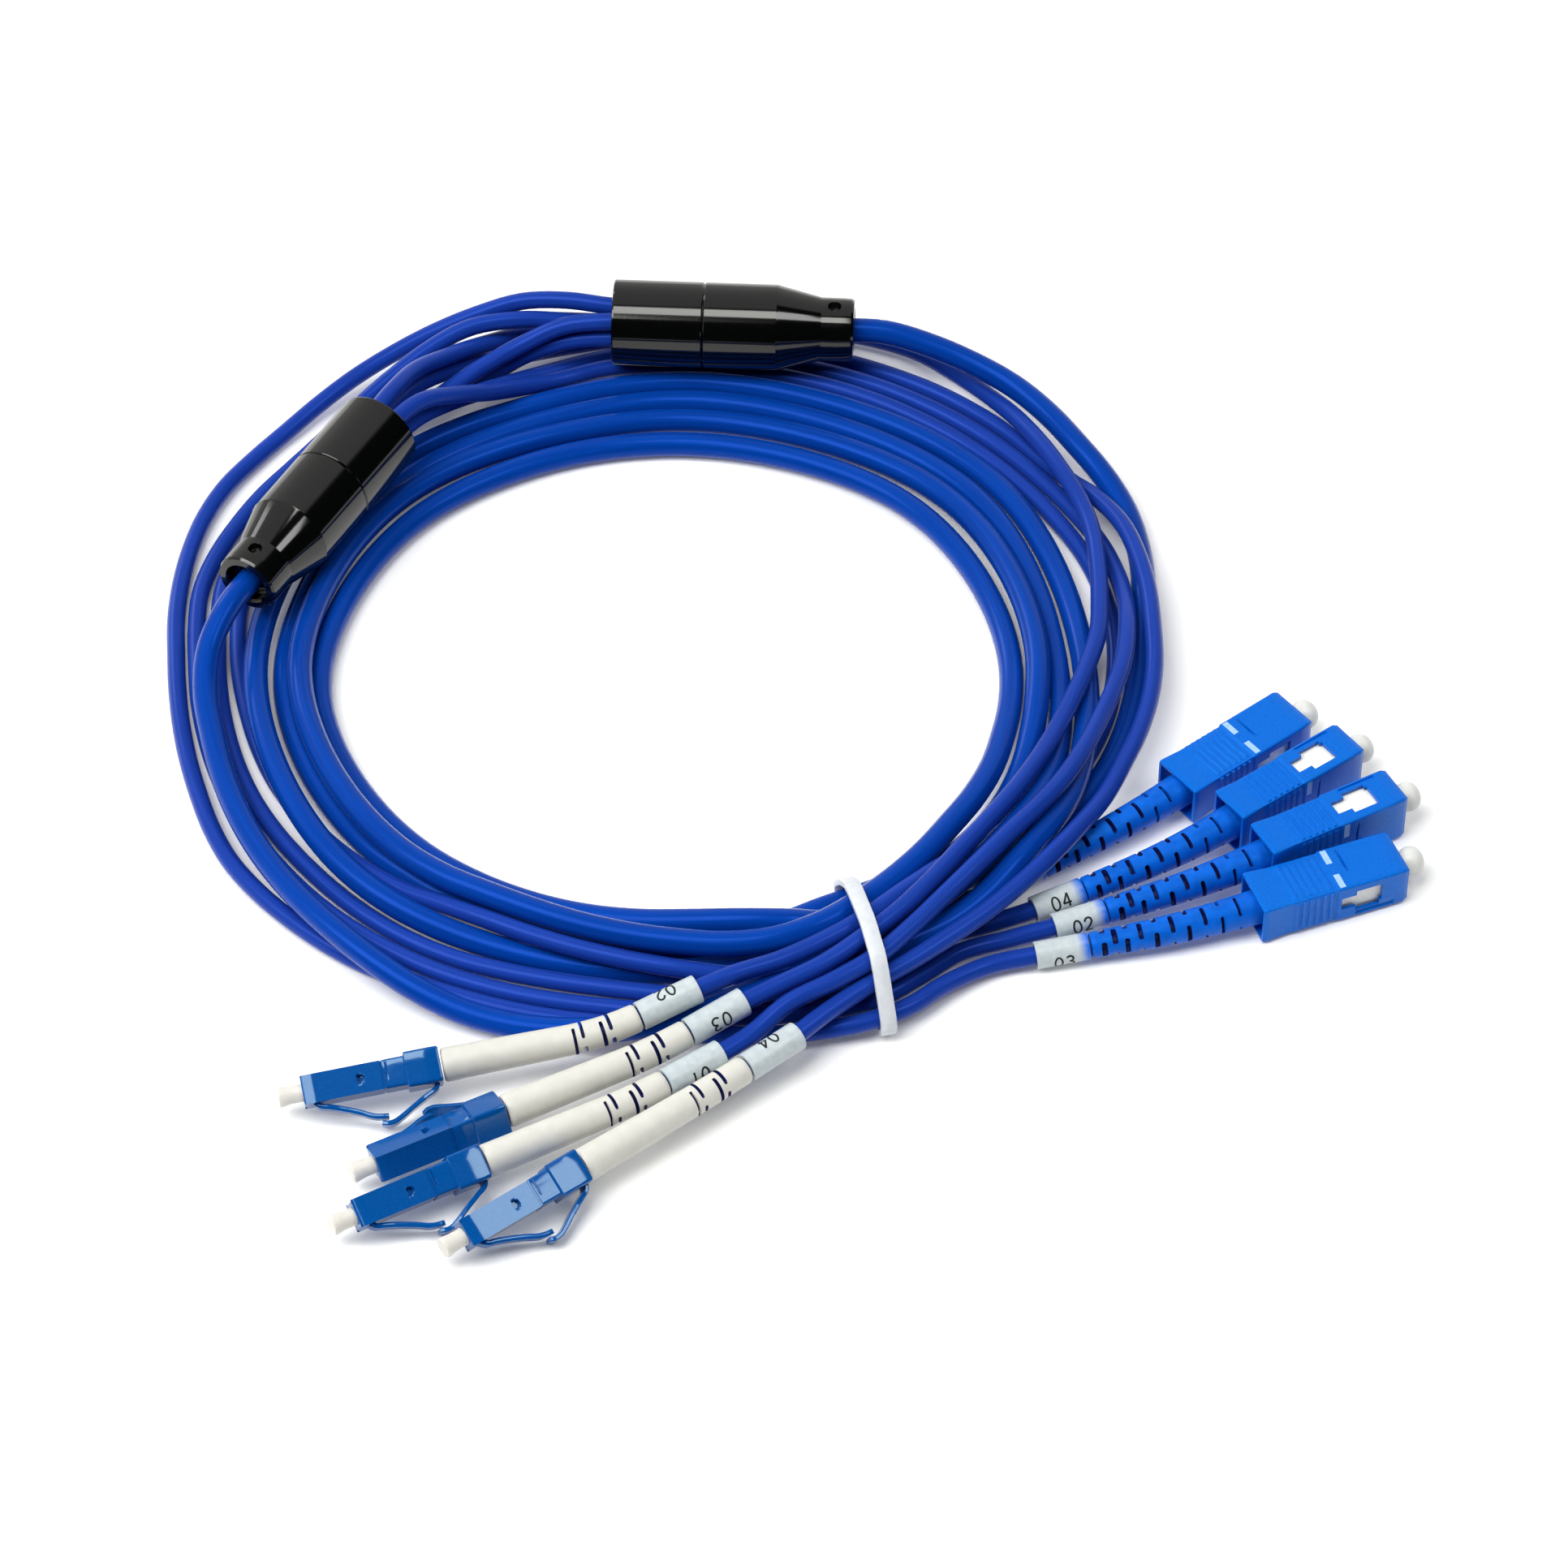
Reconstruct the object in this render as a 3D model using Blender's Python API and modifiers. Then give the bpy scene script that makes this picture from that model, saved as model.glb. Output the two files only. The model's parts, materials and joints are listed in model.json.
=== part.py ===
"""Fibre breakout cable: a four-fibre trunk wound in a loose coil between two breakout housings,
with four SC tails at one end and four LC tails at the other, all held by one nylon tie.

The coil lies on the floor with its centre near the origin. X runs right, Y away, Z up.
"""

import math

import bmesh
import bpy
import numpy as np
from mathutils import Matrix, Vector

MM = 0.001

# The middle of the whole bounding box, seen from the coil's centre, and its floor
BOX_CENTRE = (18.26, -16.81, 0.0)

# Cables, in millimetres
TRUNK_DIAMETER = 4.1
LEG_DIAMETER = 3.0
ROUTE_SPACING = 8.0
CABLE_GAP = 0.35
FIT_GAP = 0.3
LIFT_UNDER_TIE = 1.6
LIFT_SPREAD = 16.0
SETTLE_ROUNDS = 800

# Breakout housings, in millimetres from the rear end
HOUSING_DIAMETER = 14.6
HOUSING_SLEEVE_LENGTH = 15.2
HOUSING_BARREL_LENGTH = 12.5
HOUSING_CONE_LENGTH = 7.2
HOUSING_NECK_LENGTH = 5.8
HOUSING_NECK_DIAMETER = 10.8
HOUSING_BORE_DIAMETER = 11.6
HOUSING_BORE_DEPTH = 8.0
HOUSING_EDGE = 0.3
LEG_CIRCLE_RADIUS = 2.7
SET_SCREW_DIAMETER = 2.2
SET_SCREW_DEPTH = 1.2
SET_SCREW_FROM_NECK_END = 3.4
GLAND_BORE_DEPTH = 3.0
SET_SCREW_SIDE_A = 0.0
SET_SCREW_SIDE_B = 0.0

# Nylon tie
TIE_THICKNESS = 1.1
TIE_WIDTH = 2.5
TIE_CENTRE = (30.6, -60.4)
TIE_HEADING = 14.0
TIE_SIDES = 36

# SC connectors
SC_GRIP_LENGTH = 25.0
SC_GRIP_WIDTH = 9.0
SC_GRIP_HEIGHT = 7.4
SC_GRIP_WALL = 0.6
SC_GRIP_EDGE = 0.5
SC_WINDOW_LENGTH = 7.0
SC_WINDOW_HEIGHT = 4.4
SC_WINDOW_FROM_FRONT = 4.6
SC_GRIP_TRAVEL = 2.0
SC_BODY_BACK_RECESS = 2.6
SC_BODY_FRONT_RECESS = 0.4
SC_NOSE_BORE_DIAMETER = 4.8
SC_NOSE_BORE_DEPTH = 7.0
SC_FERRULE_DIAMETER = 2.5
SC_FERRULE_RECESS = 1.0
SC_BOOT_LENGTH = 29.0
SC_BOOT_FRONT_DIAMETER = 5.7
SC_BOOT_BACK_DIAMETER = 4.1
SC_LABEL_LENGTH = 8.5
SC_LABEL_DIAMETER = 4.4
SC_CAP_DIAMETER = 4.9
SC_CAP_LENGTH = 4.4
SC_CAP_INSERT = 5.0

# LC connectors
LC_BODY_SIDE = 4.5
LC_FRONT_LENGTH = 12.4
LC_REAR_LENGTH = 8.8
LC_REAR_SIDE = 5.6
LC_EDGE = 0.3
LC_NOSE_BORE_DIAMETER = 3.5
LC_NOSE_BORE_DEPTH = 5.5
LC_FERRULE_DIAMETER = 1.25
LC_FERRULE_RECESS = 0.6
LC_BOOT_LENGTH = 31.0
LC_BOOT_FRONT_DIAMETER = 5.4
LC_BOOT_BACK_DIAMETER = 4.5
LC_LABEL_LENGTH = 10.0
LC_LABEL_DIAMETER = 4.6
LC_CAP_DIAMETER = 3.3
LC_CAP_LENGTH = 3.8
LC_CAP_INSERT = 3.6
LC_LATCH_WIDTH = 2.2
LC_LATCH_THICKNESS = 0.8
LC_LATCH_RISE = 4.4
LC_TRIGGER_RISE = 5.2

LABEL_BORE_DIAMETER = LEG_DIAMETER + 0.5
# Where a boot starts to bend behind its front, and over what length
SC_BOOT_BEND = (4.6, 18.0)
LC_BOOT_BEND = (19.0, 12.0)
ROUND_STEPS = 24
SMALL_STEPS = 16

HOUSING_LENGTH = (
    HOUSING_SLEEVE_LENGTH
    + FIT_GAP
    + HOUSING_BARREL_LENGTH
    + HOUSING_CONE_LENGTH
    + HOUSING_NECK_LENGTH
)

# Where each housing lies: the centre of its rear end, the heading of its neck, and its height
HOUSING_A = {"rear": (-11.0, 75.4), "heading": -2.8, "height": 11.3}
HOUSING_B = {"rear": (-49.6, 46.8), "heading": -119.4, "height": 13.3}

# Where each connector lies: number, centre of its front face, heading, height there, pitch and
# roll, then the heading and pitch of the label at the end of its bent boot
SC_PLACES = (
    (1, (100.3, -10.7), 38.5, 3.95, 0.0, 0.0, 31.0, 4.0),
    (4, (108.7, -18.9), 36.4, 4.75, 0.0, 90.0, 23.0, 6.0),
    (2, (115.4, -29.1), 28.5, 4.75, 0.0, 90.0, 17.0, 6.0),
    (3, (115.0, -42.0), 21.0, 3.95, 0.0, 0.0, 10.5, 4.0),
)
LC_PLACES = (
    (1, (-46.7, -113.7), 208.0, 5.05, -0.6, -120.0, 213.5, -2.2),
    (2, (-55.7, -89.5), 191.5, 4.95, -3.6, -120.0, 206.0, -8.5),
    (3, (-44.2, -103.1), 205.5, 4.4, -3.0, 112.0, 211.5, -7.5),
    (4, (-30.1, -117.5), 217.0, 5.05, -0.8, -120.0, 218.5, -2.2),
)

# The trunk's turns, seen from above: clock angle run since housing A, radius and height
TRUNK_TURNS = (
    (73, 75.5, 2.1),
    (87, 74.2, 2.1),
    (100, 71.8, 2.1),
    (112, 67.0, 2.1),
    (121, 65.4, 2.1),
    (130, 64.4, 3.6),
    (139, 63.0, 6.2),
    (148, 60.6, 6.0),
    (158, 58.0, 3.6),
    (172, 56.0, 2.1),
    (200, 56.0, 2.1),
    (247, 58.5, 2.1),
    (290, 58.6, 2.1),
    (315, 56.8, 2.1),
    (337, 55.6, 2.1),
    (380, 56.2, 2.1),
    (427, 57.8, 2.1),
    (450, 60.0, 3.4),
    (466, 61.0, 4.4),
    (480, 63.4, 4.6),
    (492, 64.8, 5.0),
    (504, 64.0, 5.0),
    (517, 62.0, 5.4),
    (560, 60.5, 5.6),
    (607, 61.2, 5.4),
    (650, 62.4, 3.5),
    (697, 61.6, 2.1),
    (745, 61.5, 4.0),
    (787, 60.2, 5.6),
    (830, 62.4, 2.1),
    (850, 61.4, 2.1),
    (862, 61.4, 2.1),
    (880, 61.6, 2.1),
    (925, 62.0, 2.1),
    (967, 63.6, 2.1),
    (1010, 66.0, 2.1),
    (1057, 66.4, 2.1),
    (1105, 66.0, 2.1),
    (1147, 62.4, 2.1),
    (1172, 65.4, 6.0),
    (1182, 66.0, 7.6),
    (1195, 66.4, 7.0),
    (1210, 65.8, 3.7),
    (1237, 63.8, 2.1),
    (1285, 66.5, 2.1),
    (1327, 68.4, 2.1),
    (1349, 69.0, 2.1),
    (1370, 69.8, 2.1),
    (1417, 70.4, 2.1),
    (1465, 70.6, 2.1),
    (1507, 66.6, 2.1),
    (1532, 68.4, 5.0),
    (1545, 69.0, 6.2),
    (1557, 70.0, 4.0),
    (1570, 70.2, 4.6),
    (1584, 71.5, 6.6),
    (1598, 76.0, 7.0),
    (1618, 77.4, 3.2),
    (1640, 76.4, 5.0),
    (1660, 75.8, 5.4),
    (1676, 75.6, 7.2),
)
# Its way out of housing A and down to the floor, over the LC tails
TRUNK_START = (
    (36.5, 72.7, 11.2),
    (44.3, 70.6, 9.6),
    (57.3, 63.8, 6.8),
    (67.6, 50.9, 5.0),
    (73.6, 41.0, 3.0),
    (76.8, 29.0, 2.1),
    (76.8, 10.0, 2.1),
)
# Its way up into housing B
TRUNK_END = ((-75.6, -4.5, 9.2), (-74.6, 1.6, 11.2))
TRUNK_START_ANGLE = 67.0

# Points along each tail, from its housing to its connector
SC_TAILS = {
    3: ((-24, 79.0, 12), (-38.7, 77.4, 8), (-53.4, 70.6, 4), (-67.5, 56.8, 1.5), (-76.7, 43.4, 1.5),
        (-81.8, 20.8, 1.5), (-81.2, 5, 1.5), (-79.8, -8, 1.5), (-76.8, -22.0, 1.5), (-69.7, -40, 1.5),
        (-59.9, -51.8, 1.5), (-47.0, -61.8, 1.5), (-30, -68.6, 1.5), (-8, -72.6, 1.5),
        (12, -74.4, 1.5), (33.4, -70.4, 3.1), (44.5, -63.6, 2.2)),
    2: ((-24, 76.8, 10.4), (-35, 74.0, 9.4), (-46.6, 67.0, 6.0), (-60.8, 53.5, 1.5), (-70.8, 39.5, 1.5),
        (-77.9, 20.0, 1.5), (-77.7, 6.0, 1.5), (-75.8, -8, 1.5), (-71.6, -22.0, 1.5), (-64.4, -36, 1.5),
        (-53.2, -49.5, 1.5), (-41.2, -58.4, 1.5), (-25, -65.5, 1.5), (-5, -69.4, 1.5),
        (14, -70.4, 1.5), (32.8, -67.9, 3.1), (45.8, -58.2, 2.2)),
    4: ((-24, 73.8, 7.0), (-34, 70.0, 3.8), (-43.8, 63.0, 3.6), (-55, 52.0, 2.4), (-66.0, 38.6, 1.5),
        (-73.2, 24.5, 1.5), (-74.2, 10.0, 1.5), (-72.4, -8, 1.5), (-66.8, -24.2, 1.5), (-56.8, -38, 1.5),
        (-46, -47.8, 1.5), (-34.0, -55.2, 1.8), (-20, -61.5, 2.5), (-3, -65.6, 2.0),
        (14, -66.8, 1.5), (32.0, -65.0, 3.1), (44.6, -54.2, 2.2)),
    1: ((-24, 72.6, 9.6), (-33, 67.0, 7.6), (-42.0, 59.4, 5.5), (-51, 48.6, 2.2), (-61.5, 36.6, 1.5),
        (-69.8, 24, 1.5), (-71.2, 12.0, 1.5), (-68.6, -6, 1.5), (-61.8, -24.0, 1.5), (-52.0, -37.0, 1.5),
        (-42, -45.6, 1.8), (-28.0, -54.6, 4.0), (-14, -60.6, 5.0), (0, -63.4, 4.5),
        (14, -63.8, 3.0), (31.5, -62.2, 3.1), (43.8, -49.8, 2.2)),
}
LC_TAILS = {
    3: ((-45.5, 60.5, 13.0), (-38.6, 69.5, 9.0), (-27, 78.6, 4.4), (-10, 84.6, 1.5), (12, 84.6, 1.5),
        (30, 81.6, 1.5), (38.9, 78.2, 1.5), (46.9, 71.5, 1.5), (54.7, 61.6, 2.6), (62.1, 48.6, 4.5),
        (68.2, 34.1, 4.6), (69.9, 15.4, 4.8), (69.4, 5.4, 5.0), (66.2, -6.0, 5.2),
        (62.3, -16.4, 5.4), (57.3, -27.3, 6.8), (45.4, -45.0, 8.2), (33.0, -59.6, 8.6), (19.2, -71.0, 9.3)),
    4: ((-45.0, 58.5, 9.6), (-37.0, 67.5, 6.0), (-25, 75.6, 2.6), (-8, 81.2, 1.5), (12, 80.0, 1.5),
        (30.9, 74.2, 1.5), (44.1, 67.3, 1.5), (55.4, 57.7, 1.5), (63.4, 47.2, 1.8), (68.6, 41.2, 3.4),
        (72.7, 34.7, 4.9), (75.7, 26.2, 5.6), (77.5, 17.0, 5.6), (78.0, 7.0, 5.6), (77.7, -2.6, 5.6),
        (75.2, -13.8, 5.7), (71.3, -23.4, 5.8), (67.7, -31.0, 6.0), (61.6, -39.8, 7.2),
        (48.0, -54.5, 7.2), (34.5, -66.4, 7.2), (25.0, -74.2, 6.9)),
    1: ((-41.5, 56.0, 9.6), (-32.8, 65.0, 6.0), (-22, 72.4, 2.6), (-8, 77.4, 1.5), (12, 76.0, 1.5),
        (30.9, 70.5, 1.5), (46.2, 61.2, 1.5), (58.0, 50.1, 1.5), (64.6, 41.5, 1.5), (69.9, 32.6, 1.5),
        (73.4, 20.0, 2.8), (73.9, 8.9, 5.2), (72.6, -2.0, 5.6), (69.5, -11.8, 5.6),
        (65.6, -21.8, 5.8), (60.6, -31.4, 6.8), (53.1, -41.0, 8.0), (42.0, -54.0, 8.2),
        (32.3, -64.6, 8.4), (16.3, -75.2, 7.8)),
    2: ((-40.8, 54.0, 13), (-32.0, 61.0, 6.5), (-23, 67.6, 1.7), (-13, 72.0, 1.5), (12, 72.6, 1.5),
        (30.9, 67.1, 1.5), (44.6, 58.6, 1.5), (56.0, 47.6, 1.5), (62.6, 38.8, 1.5), (67.6, 29.6, 1.5),
        (71.2, 17.0, 1.5), (71.9, 5.0, 1.8), (69.5, -8.0, 2.4), (64.0, -20.6, 3.4),
        (56.6, -31.4, 4.6), (46.2, -43.8, 7.0), (30.8, -57.8, 9.0), (20.4, -64.8, 9.4), (12.4, -69.2, 9.8)),
}
# The quarter of a housing's bore that each tail leaves, so that none crosses another there
SC_SLOTS = {3: 0, 1: 1, 4: 2, 2: 3}
LC_SLOTS = {2: 0, 3: 1, 4: 2, 1: 3}

HOUSING_BLACK = (0.012, 0.013, 0.013)
TRUNK_BLUE = (0.006, 0.05, 0.39)
TAIL_BLUE = (0.02, 0.05, 0.38)
SC_BLUE = (0.004, 0.12, 0.62)
LC_BLUE = (0.003, 0.07, 0.3)
NYLON_WHITE = (0.64, 0.66, 0.72)
BOOT_WHITE = (0.76, 0.75, 0.71)
LABEL_GREY = (0.46, 0.54, 0.6)
CAP_CLEAR = (0.62, 0.62, 0.61)


for item in list(bpy.data.objects):
    bpy.data.objects.remove(item, do_unlink=True)

parts = bpy.data.collections.new("fibre_breakout_cable")
cutters = bpy.data.collections.new("cutters")
bpy.context.scene.collection.children.link(parts)
bpy.context.scene.collection.children.link(cutters)


def finish(name, colour, roughness, metallic=0.0):
    """A Principled material of one colour."""
    material = bpy.data.materials.new(name)
    material.use_nodes = True
    shader = material.node_tree.nodes["Principled BSDF"]
    shader.inputs["Base Color"].default_value = (*colour, 1.0)
    shader.inputs["Roughness"].default_value = roughness
    shader.inputs["Metallic"].default_value = metallic
    return material


def heading_vector(degrees):
    angle = math.radians(degrees)
    return np.array([math.cos(angle), math.sin(angle), 0.0])


def through_points(points, spacing):
    """Points at even spacing on a smooth curve through the given points.

    Each span is a cubic Hermite piece, whose end slopes are those of the chord between neighbours.
    """
    points = np.asarray(points, float)
    steps = np.linalg.norm(np.diff(points, axis=0), axis=1)
    along = np.concatenate([[0.0], np.cumsum(steps)])
    slopes = np.gradient(points, along, axis=0)
    fine = np.linspace(0.0, along[-1], int(along[-1] * 4))
    span = np.clip(np.searchsorted(along, fine, side="right") - 1, 0, len(steps) - 1)
    width = steps[span]
    t = ((fine - along[span]) / width)[:, None]
    width = width[:, None]
    curve = (
        (2 * t**3 - 3 * t**2 + 1) * points[span]
        + (t**3 - 2 * t**2 + t) * width * slopes[span]
        + (3 * t**2 - 2 * t**3) * points[span + 1]
        + (t**3 - t**2) * width * slopes[span + 1]
    )
    return evenly(curve, spacing)


def evenly(curve, spacing):
    """The same curve with its points an even distance apart."""
    steps = np.linalg.norm(np.diff(curve, axis=0), axis=1)
    along = np.concatenate([[0.0], np.cumsum(steps)])
    count = max(3, round(along[-1] / spacing))
    wanted = np.linspace(0.0, along[-1], count + 1)
    return np.stack([np.interp(wanted, along, curve[:, axis]) for axis in range(3)], axis=1)


def closest(first, first_run, second, second_run):
    """How far along two sets of segments, from 0 to 1, each pair comes closest."""
    between = first - second
    a = (first_run * first_run).sum(1)
    e = (second_run * second_run).sum(1)
    b = (first_run * second_run).sum(1)
    c = (first_run * between).sum(1)
    f = (second_run * between).sum(1)
    spread = np.maximum(a * e - b * b, 1e-9)
    s = np.clip((b * f - c * e) / spread, 0.0, 1.0)
    t = np.clip((b * s + f) / e, 0.0, 1.0)
    s = np.clip((b * t - c) / a, 0.0, 1.0)
    return s, t


def settle(strands, obstacles, rounds=SETTLE_ROUNDS):
    """Lets the cables rest on the floor and on each other, near their routes.

    Each strand is (points, radius, pinned points at its start, at its end). In every round the points
    are drawn to their route, weighed down and smoothed, and then any two stretches that are closer
    than their radii are pushed apart. Obstacles are (start, end, radius) of pieces that don't move.
    """
    points = np.concatenate([strand[0] for strand in strands] + [np.array(o[:2]) for o in obstacles])
    goal = points.copy()
    counts = [len(strand[0]) for strand in strands] + [2] * len(obstacles)
    owner = np.repeat(np.arange(len(counts)), counts)
    rank = np.concatenate([np.arange(count) for count in counts])
    radius = np.array([strand[1] for strand in strands] + [o[2] for o in obstacles])[owner]
    free = np.ones(len(points))
    free[owner >= len(strands)] = 0.0
    for number, (route, _, at_start, at_end) in enumerate(strands):
        mine = owner == number
        free[mine & (rank < at_start)] = 0.0
        free[mine & (rank >= len(route) - at_end)] = 0.0
    starts = np.flatnonzero(owner[:-1] == owner[1:])
    inner = starts[1:][owner[starts[1:] - 1] == owner[starts[1:]]]
    centre = np.array(TIE_CENTRE)
    tie_run = heading_vector(TIE_HEADING)[:2]
    loose = free[:, None]
    first = second = None
    for turn in range(rounds):
        calm = turn > rounds * 0.8
        if turn % 12 == 0:
            middle = (points[starts] + points[starts + 1]) / 2
            reach = np.linalg.norm(middle[:, None] - middle[None], axis=2)
            near = radius[starts][:, None] + radius[starts][None] + 2 * ROUTE_SPACING
            long = np.linalg.norm(points[starts + 1] - points[starts], axis=1)
            near = near + long[:, None] / 2 + long[None] / 2 - ROUTE_SPACING
            apart = (owner[starts][:, None] != owner[starts][None]) | (
                np.abs(rank[starts][:, None] - rank[starts][None]) > 4
            )
            moving = (free[starts][:, None] + free[starts][None]) > 0
            first, second = np.nonzero(np.triu((reach < near) & apart & moving, 1))
            first, second = starts[first], starts[second]
        if not calm:
            points[:, :2] += 0.03 * loose * (goal - points)[:, :2]
            points[:, 2] += 0.01 * free * (goal - points)[:, 2] - 0.03 * free
        shift = points - goal
        pull = (shift[inner - 1] + shift[inner + 1]) / 2 - shift[inner]
        points[inner] += (0.12 if calm else 0.5) * loose[inner] * pull
        run_one = points[first + 1] - points[first]
        run_two = points[second + 1] - points[second]
        s, t = closest(points[first], run_one, points[second], run_two)
        apart = points[first] + s[:, None] * run_one - points[second] - t[:, None] * run_two
        distance = np.maximum(np.linalg.norm(apart, axis=1), 1e-6)
        short = radius[first] + radius[second] + CABLE_GAP - distance
        hit = short > 0
        push = np.zeros_like(points)
        share = np.zeros(len(points))
        way = apart[hit] / distance[hit][:, None] * short[hit][:, None]
        one, two, s, t = first[hit], second[hit], s[hit], t[hit]
        weight = (
            free[one] * (1 - s) ** 2 + free[one + 1] * s**2
            + free[two] * (1 - t) ** 2 + free[two + 1] * t**2
        )
        way = way / np.maximum(weight, 0.05)[:, None]
        for index, part, sign in ((one, 1 - s, 1), (one + 1, s, 1), (two, 1 - t, -1), (two + 1, t, -1)):
            np.add.at(push, index, sign * part[:, None] * way)
            np.add.at(share, index, part)
        points += loose * push / np.maximum(share, 1.0)[:, None] * 0.7
        from_tie = points[:, :2] - centre
        bump = np.exp(-((from_tie @ tie_run) / LIFT_SPREAD) ** 2)
        bump *= np.linalg.norm(from_tie, axis=1) < 30
        low = radius + LIFT_UNDER_TIE * bump
        points[:, 2] = np.where((free > 0) & (points[:, 2] < low), low, points[:, 2])
    return [points[owner == number] for number in range(len(strands))]


def housing_frame(place):
    """The matrix that puts a housing's own axis, +X out of its neck, where the housing lies."""
    x, y = place["rear"]
    turn = Matrix.Rotation(math.radians(place["heading"]), 4, "Z")
    return Matrix.Translation(Vector((x, y, place["height"]))) @ turn


def pose(place, heading, height, pitch, roll=0.0):
    """The matrix that turns +X to a heading and lifts it by a pitch, after a roll about it."""
    turn = Matrix.Rotation(math.radians(heading), 4, "Z")
    tip = Matrix.Rotation(math.radians(-pitch), 4, "Y")
    side = Matrix.Rotation(math.radians(roll), 4, "X")
    return Matrix.Translation(Vector((place[0], place[1], height))) @ turn @ tip @ side


def connector_frame(place):
    """The matrix of a connector: +X out of its front face, +Z out of its keyed side."""
    _, front, heading, height, pitch, roll, _, _ = place
    return pose(front, heading, height, pitch, roll)


def on_axis(frame, *distances):
    """Points on the X axis of a frame, at these distances from its origin."""
    return [np.array(frame @ Vector((distance, 0.0, 0.0))) for distance in distances]


def behind(place, boot_front, distances):
    """Points on the axis of a boot and its label, at these distances behind the boot's front.

    The axis starts straight, bends evenly to the label's heading and pitch, and ends straight.
    """
    _, _, heading, _, pitch, _, label_heading, label_pitch = place
    straight, bend = SC_BOOT_BEND if boot_front == SC_BOOT_FRONT else LC_BOOT_BEND
    steps = np.arange(0.0, max(distances) + 1.0, 0.25)
    turned = np.clip((steps - straight) / bend, 0.0, 1.0)
    headings = np.radians(heading + turned * (label_heading - heading))
    pitches = np.radians(pitch + turned * (label_pitch - pitch))
    flat = np.cos(pitches)
    way = np.stack([flat * np.cos(headings), flat * np.sin(headings), np.sin(pitches)], axis=1)
    start = on_axis(connector_frame(place), boot_front)[0]
    line = start - np.vstack([[0.0, 0.0, 0.0], np.cumsum(way[:-1] * 0.25, axis=0)])
    return np.stack([np.interp(distances, steps, line[:, axis]) for axis in range(3)], axis=1)


SC_BODY_LENGTH = SC_GRIP_LENGTH - SC_BODY_BACK_RECESS - SC_BODY_FRONT_RECESS
SC_BOOT_FRONT = -(SC_GRIP_LENGTH - SC_BODY_BACK_RECESS + FIT_GAP)
LC_BOOT_FRONT = -(LC_FRONT_LENGTH + LC_REAR_LENGTH + 2 * FIT_GAP)


def tail_route(housing, slot, points, place, boot_front, boot_length, label_length):
    """A tail's points: out of one quarter of a housing's bore, along its way, into its connector."""
    frame = housing_frame(housing)
    angle = math.radians(45 + 90 * slot)
    y, z = LEG_CIRCLE_RADIUS * math.cos(angle), LEG_CIRCLE_RADIUS * math.sin(angle)
    deep = HOUSING_BORE_DEPTH - FIT_GAP
    start = [np.array(frame @ Vector((x, y, z))) for x in (deep, deep / 2, 0.0, -4.0)]
    label_back = boot_length + FIT_GAP + label_length
    end = behind(place, boot_front, (label_back + 4.0, label_back, label_back - label_length / 2,
                                     boot_length + FIT_GAP))
    return np.array(start + [np.array(point, float) for point in points] + list(end))


def trunk_route():
    """The trunk's points: out of housing A's neck, clockwise through its turns, up into housing B."""
    leaving = on_axis(housing_frame(HOUSING_A), HOUSING_LENGTH - GLAND_BORE_DEPTH + FIT_GAP,
                      HOUSING_LENGTH, HOUSING_LENGTH + 3)
    arriving = on_axis(housing_frame(HOUSING_B), HOUSING_LENGTH + 3, HOUSING_LENGTH,
                       HOUSING_LENGTH - GLAND_BORE_DEPTH + FIT_GAP)
    angles = np.radians(TRUNK_START_ANGLE - np.array([turn[0] for turn in TRUNK_TURNS]))
    radii = np.array([turn[1] for turn in TRUNK_TURNS])
    heights = np.array([turn[2] for turn in TRUNK_TURNS])
    turns = np.stack([radii * np.cos(angles), radii * np.sin(angles), heights], axis=1)
    return np.array([*leaving, *TRUNK_START, *turns, *TRUNK_END, *arriving], float)


def all_routes():
    """Every cable's settled centre line, in millimetres, by name."""
    names = ["trunk_cable"]
    strands = [(through_points(trunk_route(), ROUTE_SPACING), TRUNK_DIAMETER / 2, 2, 2)]
    obstacles = []
    for place in (HOUSING_A, HOUSING_B):
        frame = housing_frame(place)
        body = HOUSING_SLEEVE_LENGTH + HOUSING_BARREL_LENGTH
        ends = on_axis(frame, HOUSING_DIAMETER / 2 - 0.5, body - HOUSING_DIAMETER / 4)
        obstacles.append((*ends, HOUSING_DIAMETER / 2))
        ends = on_axis(frame, body - 2, body + 3)
        obstacles.append((*ends, HOUSING_DIAMETER / 2 - 0.8))
        ends = on_axis(frame, body, HOUSING_LENGTH - HOUSING_NECK_DIAMETER / 2)
        obstacles.append((*ends, HOUSING_NECK_DIAMETER / 2 + 0.4))
    kinds = (
        ("sc", SC_PLACES, SC_TAILS, SC_SLOTS, HOUSING_A, SC_BOOT_FRONT, SC_BOOT_LENGTH, SC_LABEL_LENGTH,
         SC_LABEL_DIAMETER, SC_BOOT_FRONT_DIAMETER),
        ("lc", LC_PLACES, LC_TAILS, LC_SLOTS, HOUSING_B, LC_BOOT_FRONT, LC_BOOT_LENGTH, LC_LABEL_LENGTH,
         LC_LABEL_DIAMETER, LC_BOOT_FRONT_DIAMETER),
    )
    for kind, places, tails, slots, housing, front, boot, label, label_wide, boot_wide in kinds:
        for place in places:
            route = tail_route(housing, slots[place[0]], tails[place[0]], place, front, boot, label)
            names.append(f"{kind}_tail_{place[0]}")
            strands.append((through_points(route, ROUTE_SPACING), LEG_DIAMETER / 2, 2, 3))
            ends = behind(place, front, (boot + label - 2.0, boot, boot / 2, 0.0))
            obstacles.append((ends[0], ends[1], label_wide / 2))
            obstacles.append((ends[1], ends[2], boot_wide / 2))
            obstacles.append((ends[2], ends[3], boot_wide / 2))
    return dict(zip(names, settle(strands, obstacles)))


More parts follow.
